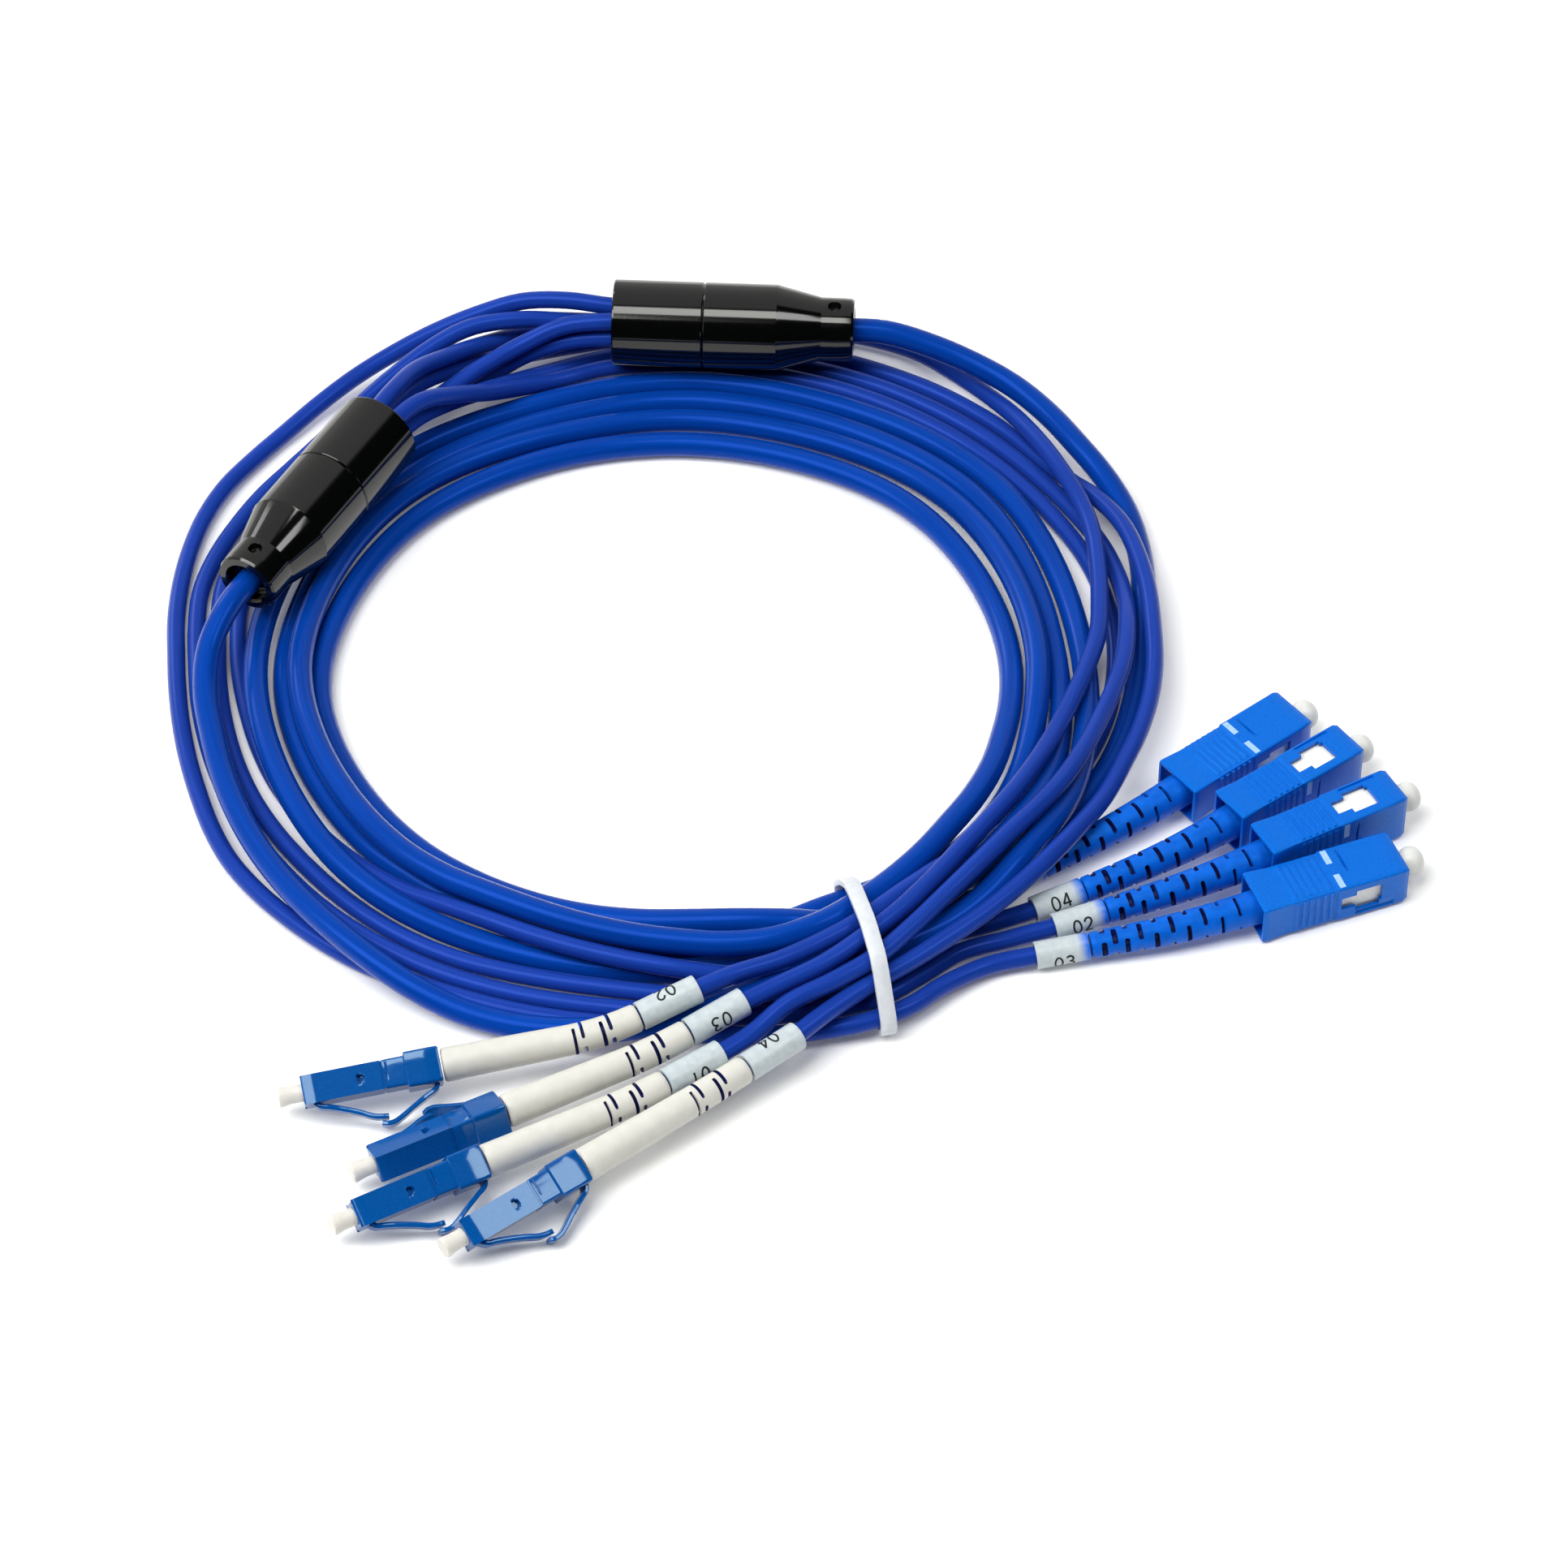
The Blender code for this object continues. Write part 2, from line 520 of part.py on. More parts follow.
def hung(name, item, hanger, frame=None):
    """An object of this mesh or curve, hung from an empty at a frame given in millimetres."""
    made = bpy.data.objects.new(name, item)
    made.parent = hanger
    if frame is not None:
        place = frame.copy()
        place.translation *= MM
        made.matrix_local = place
    parts.objects.link(made)
    return made


def baked(base, finish_with):
    """The mesh of an object with its modifiers applied. The object and its cutters are then removed."""
    bpy.context.view_layer.update()
    graph = bpy.context.evaluated_depsgraph_get()
    mesh = bpy.data.meshes.new_from_object(base.evaluated_get(graph))
    mesh.name = base.name
    mesh.materials.clear()
    mesh.materials.append(finish_with)
    others = [modifier.object for modifier in base.modifiers if modifier.type == "BOOLEAN"]
    for item in (base, *others):
        bpy.data.objects.remove(item, do_unlink=True)
    return mesh


def helper(name, mesh):
    """An object that only shapes others."""
    made = bpy.data.objects.new(name, mesh)
    made.hide_render = True
    made.display_type = "WIRE"
    cutters.objects.link(made)
    return made


def turned(name, profile, steps, whole_ring=False):
    """A turned piece about X. The profile is (along X, radius) from its front, down its outer side."""
    mesh = bpy.data.meshes.new(name)
    rows = [(radius * MM, 0.0, along * MM) for along, radius in profile]
    edges = [(i, i + 1) for i in range(len(rows) - 1)]
    if whole_ring:
        edges.append((len(rows) - 1, 0))
    mesh.from_pydata(rows, edges, [])
    lathe = helper(name, mesh)
    screw = lathe.modifiers.new("turn", "SCREW")
    screw.steps = steps
    screw.render_steps = steps
    screw.use_merge_vertices = True
    screw.merge_threshold = 0.00001
    screw.use_smooth_shade = True
    bpy.context.view_layer.update()
    graph = bpy.context.evaluated_depsgraph_get()
    spun = bpy.data.meshes.new_from_object(lathe.evaluated_get(graph))
    bpy.data.objects.remove(lathe, do_unlink=True)
    spun.name = name
    spun.transform(Matrix.Rotation(math.radians(90), 4, "Y"))
    return spun


def block(name, size, centre, edge=0.0):
    """A box of this size about this centre, its edges rounded."""
    form = bmesh.new()
    bmesh.ops.create_cube(form, size=1.0)
    bmesh.ops.scale(form, vec=[side * MM for side in size], verts=form.verts)
    if edge:
        bmesh.ops.bevel(form, geom=form.edges[:], offset=edge * MM, segments=1, affect="EDGES", profile=0.5)
    bmesh.ops.translate(form, vec=[along * MM for along in centre], verts=form.verts)
    mesh = bpy.data.meshes.new(name)
    form.to_mesh(mesh)
    form.free()
    return mesh


def slab(name, outline, width):
    """A plate of even width across Y, from its outline in X and Z."""
    form = bmesh.new()
    rows = [form.verts.new((x * MM, -width / 2 * MM, z * MM)) for x, z in outline]
    face = form.faces.new(rows)
    grown = bmesh.ops.extrude_face_region(form, geom=[face])
    moved = [item for item in grown["geom"] if isinstance(item, bmesh.types.BMVert)]
    bmesh.ops.translate(form, vec=(0.0, width * MM, 0.0), verts=moved)
    bmesh.ops.recalc_face_normals(form, faces=form.faces[:])
    mesh = bpy.data.meshes.new(name)
    form.to_mesh(mesh)
    form.free()
    return mesh


def worked(name, mesh, finish_with, cuts=(), joins=()):
    """A mesh with others joined to it and cut from it."""
    base = helper(name, mesh)
    for operation, shapes in (("UNION", joins), ("DIFFERENCE", cuts)):
        for number, shape in enumerate(shapes):
            step = base.modifiers.new(f"{operation}_{number}", "BOOLEAN")
            step.operation = operation
            step.solver = "EXACT"
            step.object = helper(f"{name}_{operation}_{number}", shape)
    return baked(base, finish_with)


def tube(name, points, radii, finish_with, hanger, sides=2):
    """A round bar through points in millimetres, with a radius at each."""
    curve = bpy.data.curves.new(name, "CURVE")
    curve.dimensions = "3D"
    curve.bevel_depth = MM
    curve.bevel_resolution = sides
    curve.use_fill_caps = True
    curve.materials.append(finish_with)
    spline = curve.splines.new("POLY")
    spline.points.add(len(points) - 1)
    for item, place, radius in zip(spline.points, points, radii):
        item.co = (*(place * MM), 1.0)
        item.radius = radius
    spline.use_smooth = True
    return hung(name, curve, hanger)


def rod(name, radius, start, end, steps=SMALL_STEPS):
    """A plain cylinder about X."""
    return turned(name, ((end, 0.0), (end, radius), (start, radius), (start, 0.0)), steps)


coil_centre = bpy.data.objects.new("coil_centre", None)
coil_centre.empty_display_size = 0.01
coil_centre.location = [-along * MM for along in BOX_CENTRE]
parts.objects.link(coil_centre)

trunk_pvc = finish("trunk_pvc", TRUNK_BLUE, 0.38)
tail_pvc = finish("tail_pvc", TAIL_BLUE, 0.4)
black_anodised = finish("black_anodised", HOUSING_BLACK, 0.32, 0.6)
sc_plastic = finish("sc_plastic", SC_BLUE, 0.4)
sc_inner_plastic = finish("sc_inner_plastic", CAP_CLEAR, 0.45)
lc_plastic = finish("lc_plastic", LC_BLUE, 0.35)
azure_rubber = finish("azure_rubber", SC_BLUE, 0.55)
white_rubber = finish("white_rubber", BOOT_WHITE, 0.55)
label_film = finish("label_film", LABEL_GREY, 0.45)
cap_plastic = finish("cap_plastic", CAP_CLEAR, 0.35)
nylon = finish("nylon", NYLON_WHITE, 0.4)
steel = finish("dark_steel", (0.06, 0.06, 0.065), 0.35, 1.0)

# Cables
routes = all_routes()
for name, points in routes.items():
    is_trunk = name == "trunk_cable"
    radius = (TRUNK_DIAMETER if is_trunk else LEG_DIAMETER) / 2
    tube(name, points, [radius] * len(points), trunk_pvc if is_trunk else tail_pvc, coil_centre)

# Breakout housings
shoulder = HOUSING_SLEEVE_LENGTH
neck_base = HOUSING_LENGTH - HOUSING_NECK_LENGTH
cone_base = neck_base - HOUSING_CONE_LENGTH
wide, narrow = HOUSING_DIAMETER / 2, HOUSING_NECK_DIAMETER / 2
sleeve = turned("housing_sleeve", (
    (shoulder, 0.0), (shoulder, wide - HOUSING_EDGE), (shoulder - HOUSING_EDGE, wide),
    (HOUSING_EDGE, wide), (0.0, wide - HOUSING_EDGE), (0.0, HOUSING_BORE_DIAMETER / 2),
    (HOUSING_BORE_DEPTH, HOUSING_BORE_DIAMETER / 2), (HOUSING_BORE_DEPTH, 0.0),
), ROUND_STEPS)
sleeve.materials.append(black_anodised)
gland = TRUNK_DIAMETER / 2 + FIT_GAP
cone = turned("housing_cone", (
    (HOUSING_LENGTH - GLAND_BORE_DEPTH, 0.0), (HOUSING_LENGTH - GLAND_BORE_DEPTH, gland),
    (HOUSING_LENGTH, gland), (HOUSING_LENGTH, narrow - 0.9), (HOUSING_LENGTH - 0.3, narrow - 0.4),
    (HOUSING_LENGTH - 1.0, narrow), (neck_base, narrow), (cone_base, wide),
    (shoulder + FIT_GAP + HOUSING_EDGE, wide), (shoulder + FIT_GAP, wide - HOUSING_EDGE),
    (shoulder + FIT_GAP, 0.0),
), ROUND_STEPS)
for letter, place, side in (("a", HOUSING_A, SET_SCREW_SIDE_A), ("b", HOUSING_B, SET_SCREW_SIDE_B)):
    frame = housing_frame(place)
    hung(f"housing_{letter}_sleeve", sleeve, coil_centre, frame)
    outward = Matrix.Translation(Vector((HOUSING_LENGTH - SET_SCREW_FROM_NECK_END, 0.0, 0.0)))
    outward = outward @ Matrix.Rotation(math.radians(side), 4, "X") @ Matrix.Rotation(math.radians(-90), 4, "Y")
    drill = rod("drill", SET_SCREW_DIAMETER / 2, narrow - SET_SCREW_DEPTH, narrow + 2.0)
    drill_frame = outward.copy()
    drill_frame.translation *= MM
    drill.transform(drill_frame)
    front = worked(f"housing_{letter}_cone", cone.copy(), black_anodised, cuts=[drill])
    hung(f"housing_{letter}_cone", front, coil_centre, frame)
    screw_top = narrow - 0.25
    screw = rod("set_screw", SET_SCREW_DIAMETER / 2 - FIT_GAP, narrow - SET_SCREW_DEPTH + FIT_GAP, screw_top)
    screw.materials.append(steel)
    hung(f"housing_{letter}_screw", screw, coil_centre, frame @ outward)


def label_frame(place, boot_front, distance):
    """The frame of a label: its origin on the boot's axis, that far behind the boot's front."""
    at = behind(place, boot_front, (distance,))[0]
    return pose(at, place[6], at[2], place[7])


def sleeve_label(name, length, diameter):
    """The printed film round a tail, as a thin tube from 0 back along -X."""
    outer, bore = diameter / 2, LABEL_BORE_DIAMETER / 2
    ring = turned(name, ((0.0, bore), (0.0, outer), (-length, outer), (-length, bore)), SMALL_STEPS, True)
    ring.materials.append(label_film)
    return ring


def boot(name, place, front, length, front_wide, back_wide, finish_with):
    """A strain-relief boot: a round bar along its bent axis, thinner towards the cable."""
    distances = np.linspace(0.0, length, 9)
    radii = np.interp(distances, (0.0, length), (front_wide / 2, back_wide / 2))
    tube(name, behind(place, front, distances), radii, finish_with, coil_centre, sides=4)


def dust_cap(name, knob, length, insert, insert_wide, bore_wide, back):
    """A dust cap: a round knob with a blind tube behind it that goes over the ferrule."""
    crown = knob * 0.36
    profile = [(length, 0.0), (length, knob - crown)]
    for step in (30, 60, 90):
        turn = math.radians(step)
        profile.append((length - crown + crown * math.cos(turn), knob - crown + crown * math.sin(turn)))
    profile += [(back, knob), (back, insert_wide), (back - insert, insert_wide), (back - insert, bore_wide),
                (back - 0.4, bore_wide), (back - 0.4, 0.0)]
    mesh = turned(name, profile, SMALL_STEPS)
    mesh.materials.append(cap_plastic)
    return mesh


# SC connectors
grip_bore_wide = SC_GRIP_WIDTH - 2 * SC_GRIP_WALL
grip_bore_high = SC_GRIP_HEIGHT - 2 * SC_GRIP_WALL
window_middle = -(SC_WINDOW_FROM_FRONT + SC_WINDOW_LENGTH / 2)
sc_grip = worked(
    "sc_grip",
    block("grip", (SC_GRIP_LENGTH, SC_GRIP_WIDTH, SC_GRIP_HEIGHT), (-SC_GRIP_LENGTH / 2, 0, 0), SC_GRIP_EDGE),
    sc_plastic,
    cuts=[
        block("bore", (SC_GRIP_LENGTH + 4, grip_bore_wide, grip_bore_high), (-SC_GRIP_LENGTH / 2, 0, 0)),
        block("windows", (SC_WINDOW_LENGTH, SC_GRIP_WIDTH + 4, SC_WINDOW_HEIGHT), (window_middle, 0, 0)),
    ],
)
sc_front = -SC_BODY_FRONT_RECESS
nose_end = sc_front - SC_NOSE_BORE_DEPTH
sc_inner = worked(
    "sc_body",
    block("body", (SC_BODY_LENGTH, grip_bore_wide - 2 * FIT_GAP, grip_bore_high - 2 * FIT_GAP),
          (sc_front - SC_BODY_LENGTH / 2, 0, 0), 0.2),
    sc_inner_plastic,
    cuts=[
        turned("nose", (
            (sc_front + 2, SC_FERRULE_DIAMETER / 2), (sc_front + 2, SC_NOSE_BORE_DIAMETER / 2),
            (nose_end, SC_NOSE_BORE_DIAMETER / 2), (nose_end, SC_FERRULE_DIAMETER / 2),
        ), SMALL_STEPS, True),
        rod("tip", SC_FERRULE_DIAMETER / 2 + 0.2, sc_front - SC_FERRULE_RECESS, sc_front + 3),
    ],
)
sc_cap = dust_cap("sc_cap", SC_CAP_DIAMETER / 2, SC_CAP_LENGTH, SC_CAP_INSERT,
                  SC_NOSE_BORE_DIAMETER / 2 - FIT_GAP, SC_FERRULE_DIAMETER / 2 + FIT_GAP, sc_front + FIT_GAP)
sc_label = sleeve_label("sc_label", SC_LABEL_LENGTH, SC_LABEL_DIAMETER)

# LC connectors
lc_half = LC_BODY_SIDE / 2
lc_rear_half = LC_REAR_SIDE / 2
lc_rear_front = -(LC_FRONT_LENGTH + FIT_GAP)
lc_rear_back = lc_rear_front - LC_REAR_LENGTH
latch_tip = lc_half + LC_LATCH_RISE
latch_end = -LC_FRONT_LENGTH
lc_front_piece = worked(
    "lc_front_body",
    block("front", (LC_FRONT_LENGTH, LC_BODY_SIDE, LC_BODY_SIDE), (-LC_FRONT_LENGTH / 2, 0, 0), LC_EDGE),
    lc_plastic,
    joins=[slab("latch", (
        (-2.6, lc_half - 0.6), (-2.6, lc_half + 0.5), (-3.4, lc_half + 0.9), (latch_end + 1.0, latch_tip),
        (latch_end, latch_tip), (latch_end, latch_tip - LC_LATCH_THICKNESS), (-4.6, lc_half + 0.3),
        (-4.6, lc_half - 0.6),
    ), LC_LATCH_WIDTH)],
    cuts=[
        turned("nose", (
            (2.0, LC_FERRULE_DIAMETER / 2), (2.0, LC_NOSE_BORE_DIAMETER / 2),
            (-LC_NOSE_BORE_DEPTH, LC_NOSE_BORE_DIAMETER / 2), (-LC_NOSE_BORE_DEPTH, LC_FERRULE_DIAMETER / 2),
        ), SMALL_STEPS, True),
        rod("tip", LC_FERRULE_DIAMETER / 2 + 0.2, -LC_FERRULE_RECESS, 3),
    ],
)
trigger_tip = latch_tip + FIT_GAP + 0.1
trigger_end = lc_rear_front + 1.8
lc_rear_piece = worked(
    "lc_rear_body",
    block("rear", (LC_REAR_LENGTH, LC_REAR_SIDE, LC_REAR_SIDE),
          ((lc_rear_front + lc_rear_back) / 2, 0, 0), LC_EDGE),
    lc_plastic,
    joins=[slab("trigger", (
        (lc_rear_back + 0.6, lc_rear_half - 0.6), (lc_rear_back + 0.6, lc_rear_half + 0.6),
        (lc_rear_back + 1.6, lc_rear_half + 1.0), (lc_rear_front - 0.5, trigger_tip + 0.7),
        (trigger_end, trigger_tip + 0.7), (trigger_end, trigger_tip), (lc_rear_front - 0.3, trigger_tip),
        (lc_rear_back + 2.9, lc_rear_half + 0.3), (lc_rear_back + 2.9, lc_rear_half - 0.6),
    ), LC_LATCH_WIDTH + 0.6)],
)
lc_cap = dust_cap("lc_cap", LC_CAP_DIAMETER / 2, LC_CAP_LENGTH, LC_CAP_INSERT,
                  LC_NOSE_BORE_DIAMETER / 2 - FIT_GAP, LC_FERRULE_DIAMETER / 2 + FIT_GAP, FIT_GAP)
lc_label = sleeve_label("lc_label", LC_LABEL_LENGTH, LC_LABEL_DIAMETER)

for kind, places, pieces, front, length, wides, label, rubber in (
    ("sc", SC_PLACES, {"grip": sc_grip, "body": sc_inner, "cap": sc_cap}, SC_BOOT_FRONT, SC_BOOT_LENGTH,
     (SC_BOOT_FRONT_DIAMETER, SC_BOOT_BACK_DIAMETER), sc_label, azure_rubber),
    ("lc", LC_PLACES, {"front_body": lc_front_piece, "rear_body": lc_rear_piece, "cap": lc_cap},
     LC_BOOT_FRONT, LC_BOOT_LENGTH, (LC_BOOT_FRONT_DIAMETER, LC_BOOT_BACK_DIAMETER), lc_label, white_rubber),
):
    for place in places:
        number = place[0]
        hanger = hung(f"{kind}_{number}_frame", None, coil_centre, connector_frame(place))
        hanger.empty_display_size = 0.01
        for piece, mesh in pieces.items():
            hung(f"{kind}_{number}_{piece}", mesh, hanger)
        boot(f"{kind}_{number}_boot", place, front, length, *wides, rubber)
        hung(f"{kind}_{number}_label", label, coil_centre, label_frame(place, front, length + FIT_GAP))


def tie_sides():
    """The sides of the tie's inner outline across the bundle: their outward normals and distances.

    Each side stands off the farthest strand surface in its direction by the fit gap.
    """
    run = heading_vector(TIE_HEADING)
    across = np.array([run[1], -run[0], 0.0])
    centre = np.array([*TIE_CENTRE, 0.0])
    disks = []
    for name, points in routes.items():
        radius = (TRUNK_DIAMETER if name == "trunk_cable" else LEG_DIAMETER) / 2
        fine = evenly(points, 0.4) - centre
        inside = (np.abs(fine @ run) < TIE_WIDTH / 2 + 0.6) & (np.linalg.norm(fine, axis=1) < 30)
        disks += [(spot @ across, spot[2], radius) for spot in fine[inside]]
    disks = np.array(disks)
    angles = np.radians(np.arange(TIE_SIDES) * 360.0 / TIE_SIDES)
    normals = np.stack([np.cos(angles), np.sin(angles)], axis=1)
    return normals, (disks[:, :2] @ normals.T + disks[:, 2:]).max(axis=0) + FIT_GAP


def tie_corners(normals, reach):
    """The corners where each side of an outline meets the next."""
    return [
        np.linalg.solve(normals[[one, (one + 1) % TIE_SIDES]], reach[[one, (one + 1) % TIE_SIDES]])
        for one in range(TIE_SIDES)
    ]


# The tie: a flat ring round the bundle, standing across it
tie_normals, tie_reach = tie_sides()
band = bpy.data.curves.new("cable_tie", "CURVE")
band.dimensions = "2D"
band.fill_mode = "BOTH"
band.extrude = TIE_WIDTH / 2 * MM
band.materials.append(nylon)
for stand_off in (TIE_THICKNESS, 0.0):
    ring = band.splines.new("POLY")
    ring.points.add(TIE_SIDES - 1)
    ring.use_cyclic_u = True
    for item, (across, up) in zip(ring.points, tie_corners(tie_normals, tie_reach + stand_off)):
        item.co = (across * MM, up * MM, 0.0, 1.0)
tie_run = heading_vector(TIE_HEADING)
upright = Matrix((
    (tie_run[1], 0.0, -tie_run[0], TIE_CENTRE[0]),
    (-tie_run[0], 0.0, -tie_run[1], TIE_CENTRE[1]),
    (0.0, 1.0, 0.0, 0.0),
    (0.0, 0.0, 0.0, 1.0),
))
hung("cable_tie", band, coil_centre, upright)
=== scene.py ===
"""The looks of the fibre breakout cable as it lies on a pale studio floor.

Sizes and places are in millimetres from the middle of the coil, with X right, Y away and Z up, and
each piece is put into the frame in metres. A connector's own frame has X out of its front face, and
a housing's own frame has X out of its neck.
"""

import json
import math

import bmesh
import bpy
import numpy as np
from mathutils import Matrix, Vector

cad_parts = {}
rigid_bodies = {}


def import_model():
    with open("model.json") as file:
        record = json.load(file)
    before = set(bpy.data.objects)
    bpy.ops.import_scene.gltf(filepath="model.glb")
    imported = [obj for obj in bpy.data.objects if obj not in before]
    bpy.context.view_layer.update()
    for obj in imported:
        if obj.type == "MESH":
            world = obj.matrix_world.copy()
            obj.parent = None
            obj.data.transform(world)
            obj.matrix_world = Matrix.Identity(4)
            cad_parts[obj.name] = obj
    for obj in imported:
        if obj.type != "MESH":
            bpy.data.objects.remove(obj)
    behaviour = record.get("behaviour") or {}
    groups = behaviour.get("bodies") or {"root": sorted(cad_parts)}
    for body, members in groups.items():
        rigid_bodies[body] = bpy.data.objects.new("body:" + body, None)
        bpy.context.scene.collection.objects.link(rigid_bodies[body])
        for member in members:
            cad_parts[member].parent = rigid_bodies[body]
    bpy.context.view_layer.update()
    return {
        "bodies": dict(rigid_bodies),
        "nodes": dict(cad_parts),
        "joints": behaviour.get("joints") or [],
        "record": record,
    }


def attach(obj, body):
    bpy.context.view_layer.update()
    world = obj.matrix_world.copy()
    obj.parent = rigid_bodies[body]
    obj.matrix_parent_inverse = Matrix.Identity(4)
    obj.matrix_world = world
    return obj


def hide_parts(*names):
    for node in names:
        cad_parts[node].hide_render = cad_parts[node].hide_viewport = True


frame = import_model()


# The studio: a matte white paper floor that runs out of view on every side. It is a grid that dips
# nowhere, laid a hair under the lowest cable so that the two never share a surface.


def linear(code):
    """An sRGB hex colour as linear red, green and blue with full alpha."""
    channels = np.array([int(code[at : at + 2], 16) for at in (1, 3, 5)]) / 255.0
    low, high = channels / 12.92, ((channels + 0.055) / 1.055) ** 2.4
    return (*np.where(channels <= 0.04045, low, high).tolist(), 1.0)


def finish(name, colour, **sockets):
    """A Principled material of one colour, with values for its other sockets, spaces as underscores."""
    material = bpy.data.materials.new(name)
    material.use_nodes = True
    shader = material.node_tree.nodes["Principled BSDF"]
    shader.inputs["Base Color"].default_value = linear(colour)
    for socket, value in sockets.items():
        shader.inputs[socket.replace("_", " ")].default_value = value
    return material


def add(material, kind, sockets, **settings):
    """A node with its settings. A socket given another node's output is linked to it."""
    tree = material.node_tree
    node = tree.nodes.new(kind)
    for setting, value in settings.items():
        setattr(node, setting, value)
    for socket, value in sockets.items():
        if isinstance(value, bpy.types.NodeSocket):
            tree.links.new(value, node.inputs[socket])
        else:
            node.inputs[socket].default_value = value
    return node


def grained(material, tones, grain, height, coordinates="Object", stretch=(1.0, 1.0, 1.0), detail=3.0):
    """Gives a material a cloudy grain: its colour drifts between the tones, and its surface rises and
    falls by height, in metres. Grain is the number of clouds in a unit of the coordinates."""
    shader = material.node_tree.nodes["Principled BSDF"]
    where = add(material, "ShaderNodeTexCoord", {})
    placed = add(material, "ShaderNodeMapping", {"Vector": where.outputs[coordinates], "Scale": stretch})
    noise = add(material, "ShaderNodeTexNoise",
                {"Vector": placed.outputs["Vector"], "Scale": grain, "Detail": detail})
    ramp = add(material, "ShaderNodeValToRGB", {"Fac": noise.outputs["Fac"]})
    ramp.color_ramp.elements[0].position = 0.3
    ramp.color_ramp.elements[0].color = linear(tones[0])
    ramp.color_ramp.elements[1].position = 0.7
    ramp.color_ramp.elements[1].color = linear(tones[1])
    bump = add(material, "ShaderNodeBump",
               {"Height": noise.outputs["Fac"], "Distance": height, "Strength": 1.0})
    material.node_tree.links.new(ramp.outputs["Color"], shader.inputs["Base Color"])
    material.node_tree.links.new(bump.outputs["Normal"], shader.inputs["Normal"])
    return noise


# Seamless background paper: matte, with a faint fibre about 0.5 mm long. It lies on a lit table and
# lets some of that light through, which keeps the shadows faint.
paper = finish("background_paper", "#F7F7F7", Roughness=0.85, IOR=1.5, Emission_Color=linear("#FFFFFF"),
               Emission_Strength=0.1)
grained(paper, ("#F5F5F6", "#F9F9F9"), 2000.0, 0.00001)

FLOOR_REACH = 2.5
FLOOR_HEIGHT = -0.0002
FLOOR_POINTS = 9
reach = np.linspace(-FLOOR_REACH, FLOOR_REACH, FLOOR_POINTS)
level = np.full((FLOOR_POINTS, FLOOR_POINTS), FLOOR_HEIGHT)
ground = np.stack([*np.meshgrid(reach, reach), level], axis=-1).reshape(-1, 3)
corner = np.arange(FLOOR_POINTS**2).reshape(level.shape)[:-1, :-1].reshape(-1)
cells = np.stack([corner, corner + 1, corner + FLOOR_POINTS + 1, corner + FLOOR_POINTS], axis=1)
floor_mesh = bpy.data.meshes.new("floor")
floor_mesh.from_pydata(ground, [], cells)
floor_mesh.materials.append(paper)
floor = bpy.data.objects.new("floor", floor_mesh)
bpy.context.scene.collection.objects.link(floor)

# The camera: a long lens, about a metre off, looking down at 47.5 degrees. One millimetre at the
# middle of the coil is 7.65 pixels of a picture 1932 pixels wide.
PICTURE_WIDTH = 1932.0
PIXELS_PER_METRE = 7650.0
lens = bpy.data.cameras.new("camera")
lens.sensor_width = 36.0
lens.lens = 36.0 * PIXELS_PER_METRE / PICTURE_WIDTH
lens.clip_start, lens.clip_end = 0.05, 20.0
camera = bpy.data.objects.new("camera", lens)
camera.location = (-0.00028, -0.6797, 0.7373)
camera.rotation_euler = (math.radians(42.5), 0.0, 0.0)
bpy.context.scene.collection.objects.link(camera)
bpy.context.scene.camera = camera


def softbox(name, place, wide, high, brightness, colour="#FFFFFF", level=False):
    """A rectangular light at a place in metres, turned to the coil or hung level. Brightness is that of
    its own face, as a mirror would show it."""
    light = bpy.data.lights.new(name, "AREA")
    light.shape = "RECTANGLE"
    light.size, light.size_y = wide, high
    light.energy = brightness * math.pi * wide * high
    light.color = linear(colour)[:3]
    placed = bpy.data.objects.new(name, light)
    placed.location = place
    if not level:
        placed.rotation_euler = Vector(place).to_track_quat("Z", "Y").to_euler()
    bpy.context.scene.collection.objects.link(placed)


# The main light hangs level over the left and the front, with a short strip beside it over the coil.
# A small one stands over the right, and one far behind on the left draws the thin highlights on the
# strands at the sides of the coil.
softbox("overhead_softbox", (-0.86, -0.382, 1.2), 1.4, 0.782, 7.2, "#FFFFFA", level=True)
softbox("strip_softbox", (-0.04, -0.2, 1.2), 0.22, 0.42, 8.4, "#FFFFFA", level=True)
softbox("right_softbox", (0.76, -0.17, 1.18), 0.44, 0.44, 7.4)
softbox("back_left_softbox", (-0.95, 1.08, 0.69), 0.4, 0.4, 4.0)

# The room: a white wall behind that lights the coil softly, and darkness in front and on the right
room = bpy.data.worlds.new("studio_room")
room.use_nodes = True
way = add(room, "ShaderNodeTexCoord", {})
depth = add(room, "ShaderNodeVectorMath", {0: way.outputs["Generated"], 1: (-0.5, 1.0, 0.0)},
            operation="DOT_PRODUCT")
wall = add(room, "ShaderNodeMapRange",
           {"Value": depth.outputs["Value"], "From Min": 0.0, "From Max": 0.1, "To Max": 0.72})
room.node_tree.links.new(wall.outputs["Result"], room.node_tree.nodes["Background"].inputs["Strength"])
room.node_tree.nodes["Background"].inputs["Color"].default_value = linear("#F8F8F5")
bpy.context.scene.world = room
bpy.context.scene.view_settings.view_transform = "Standard"


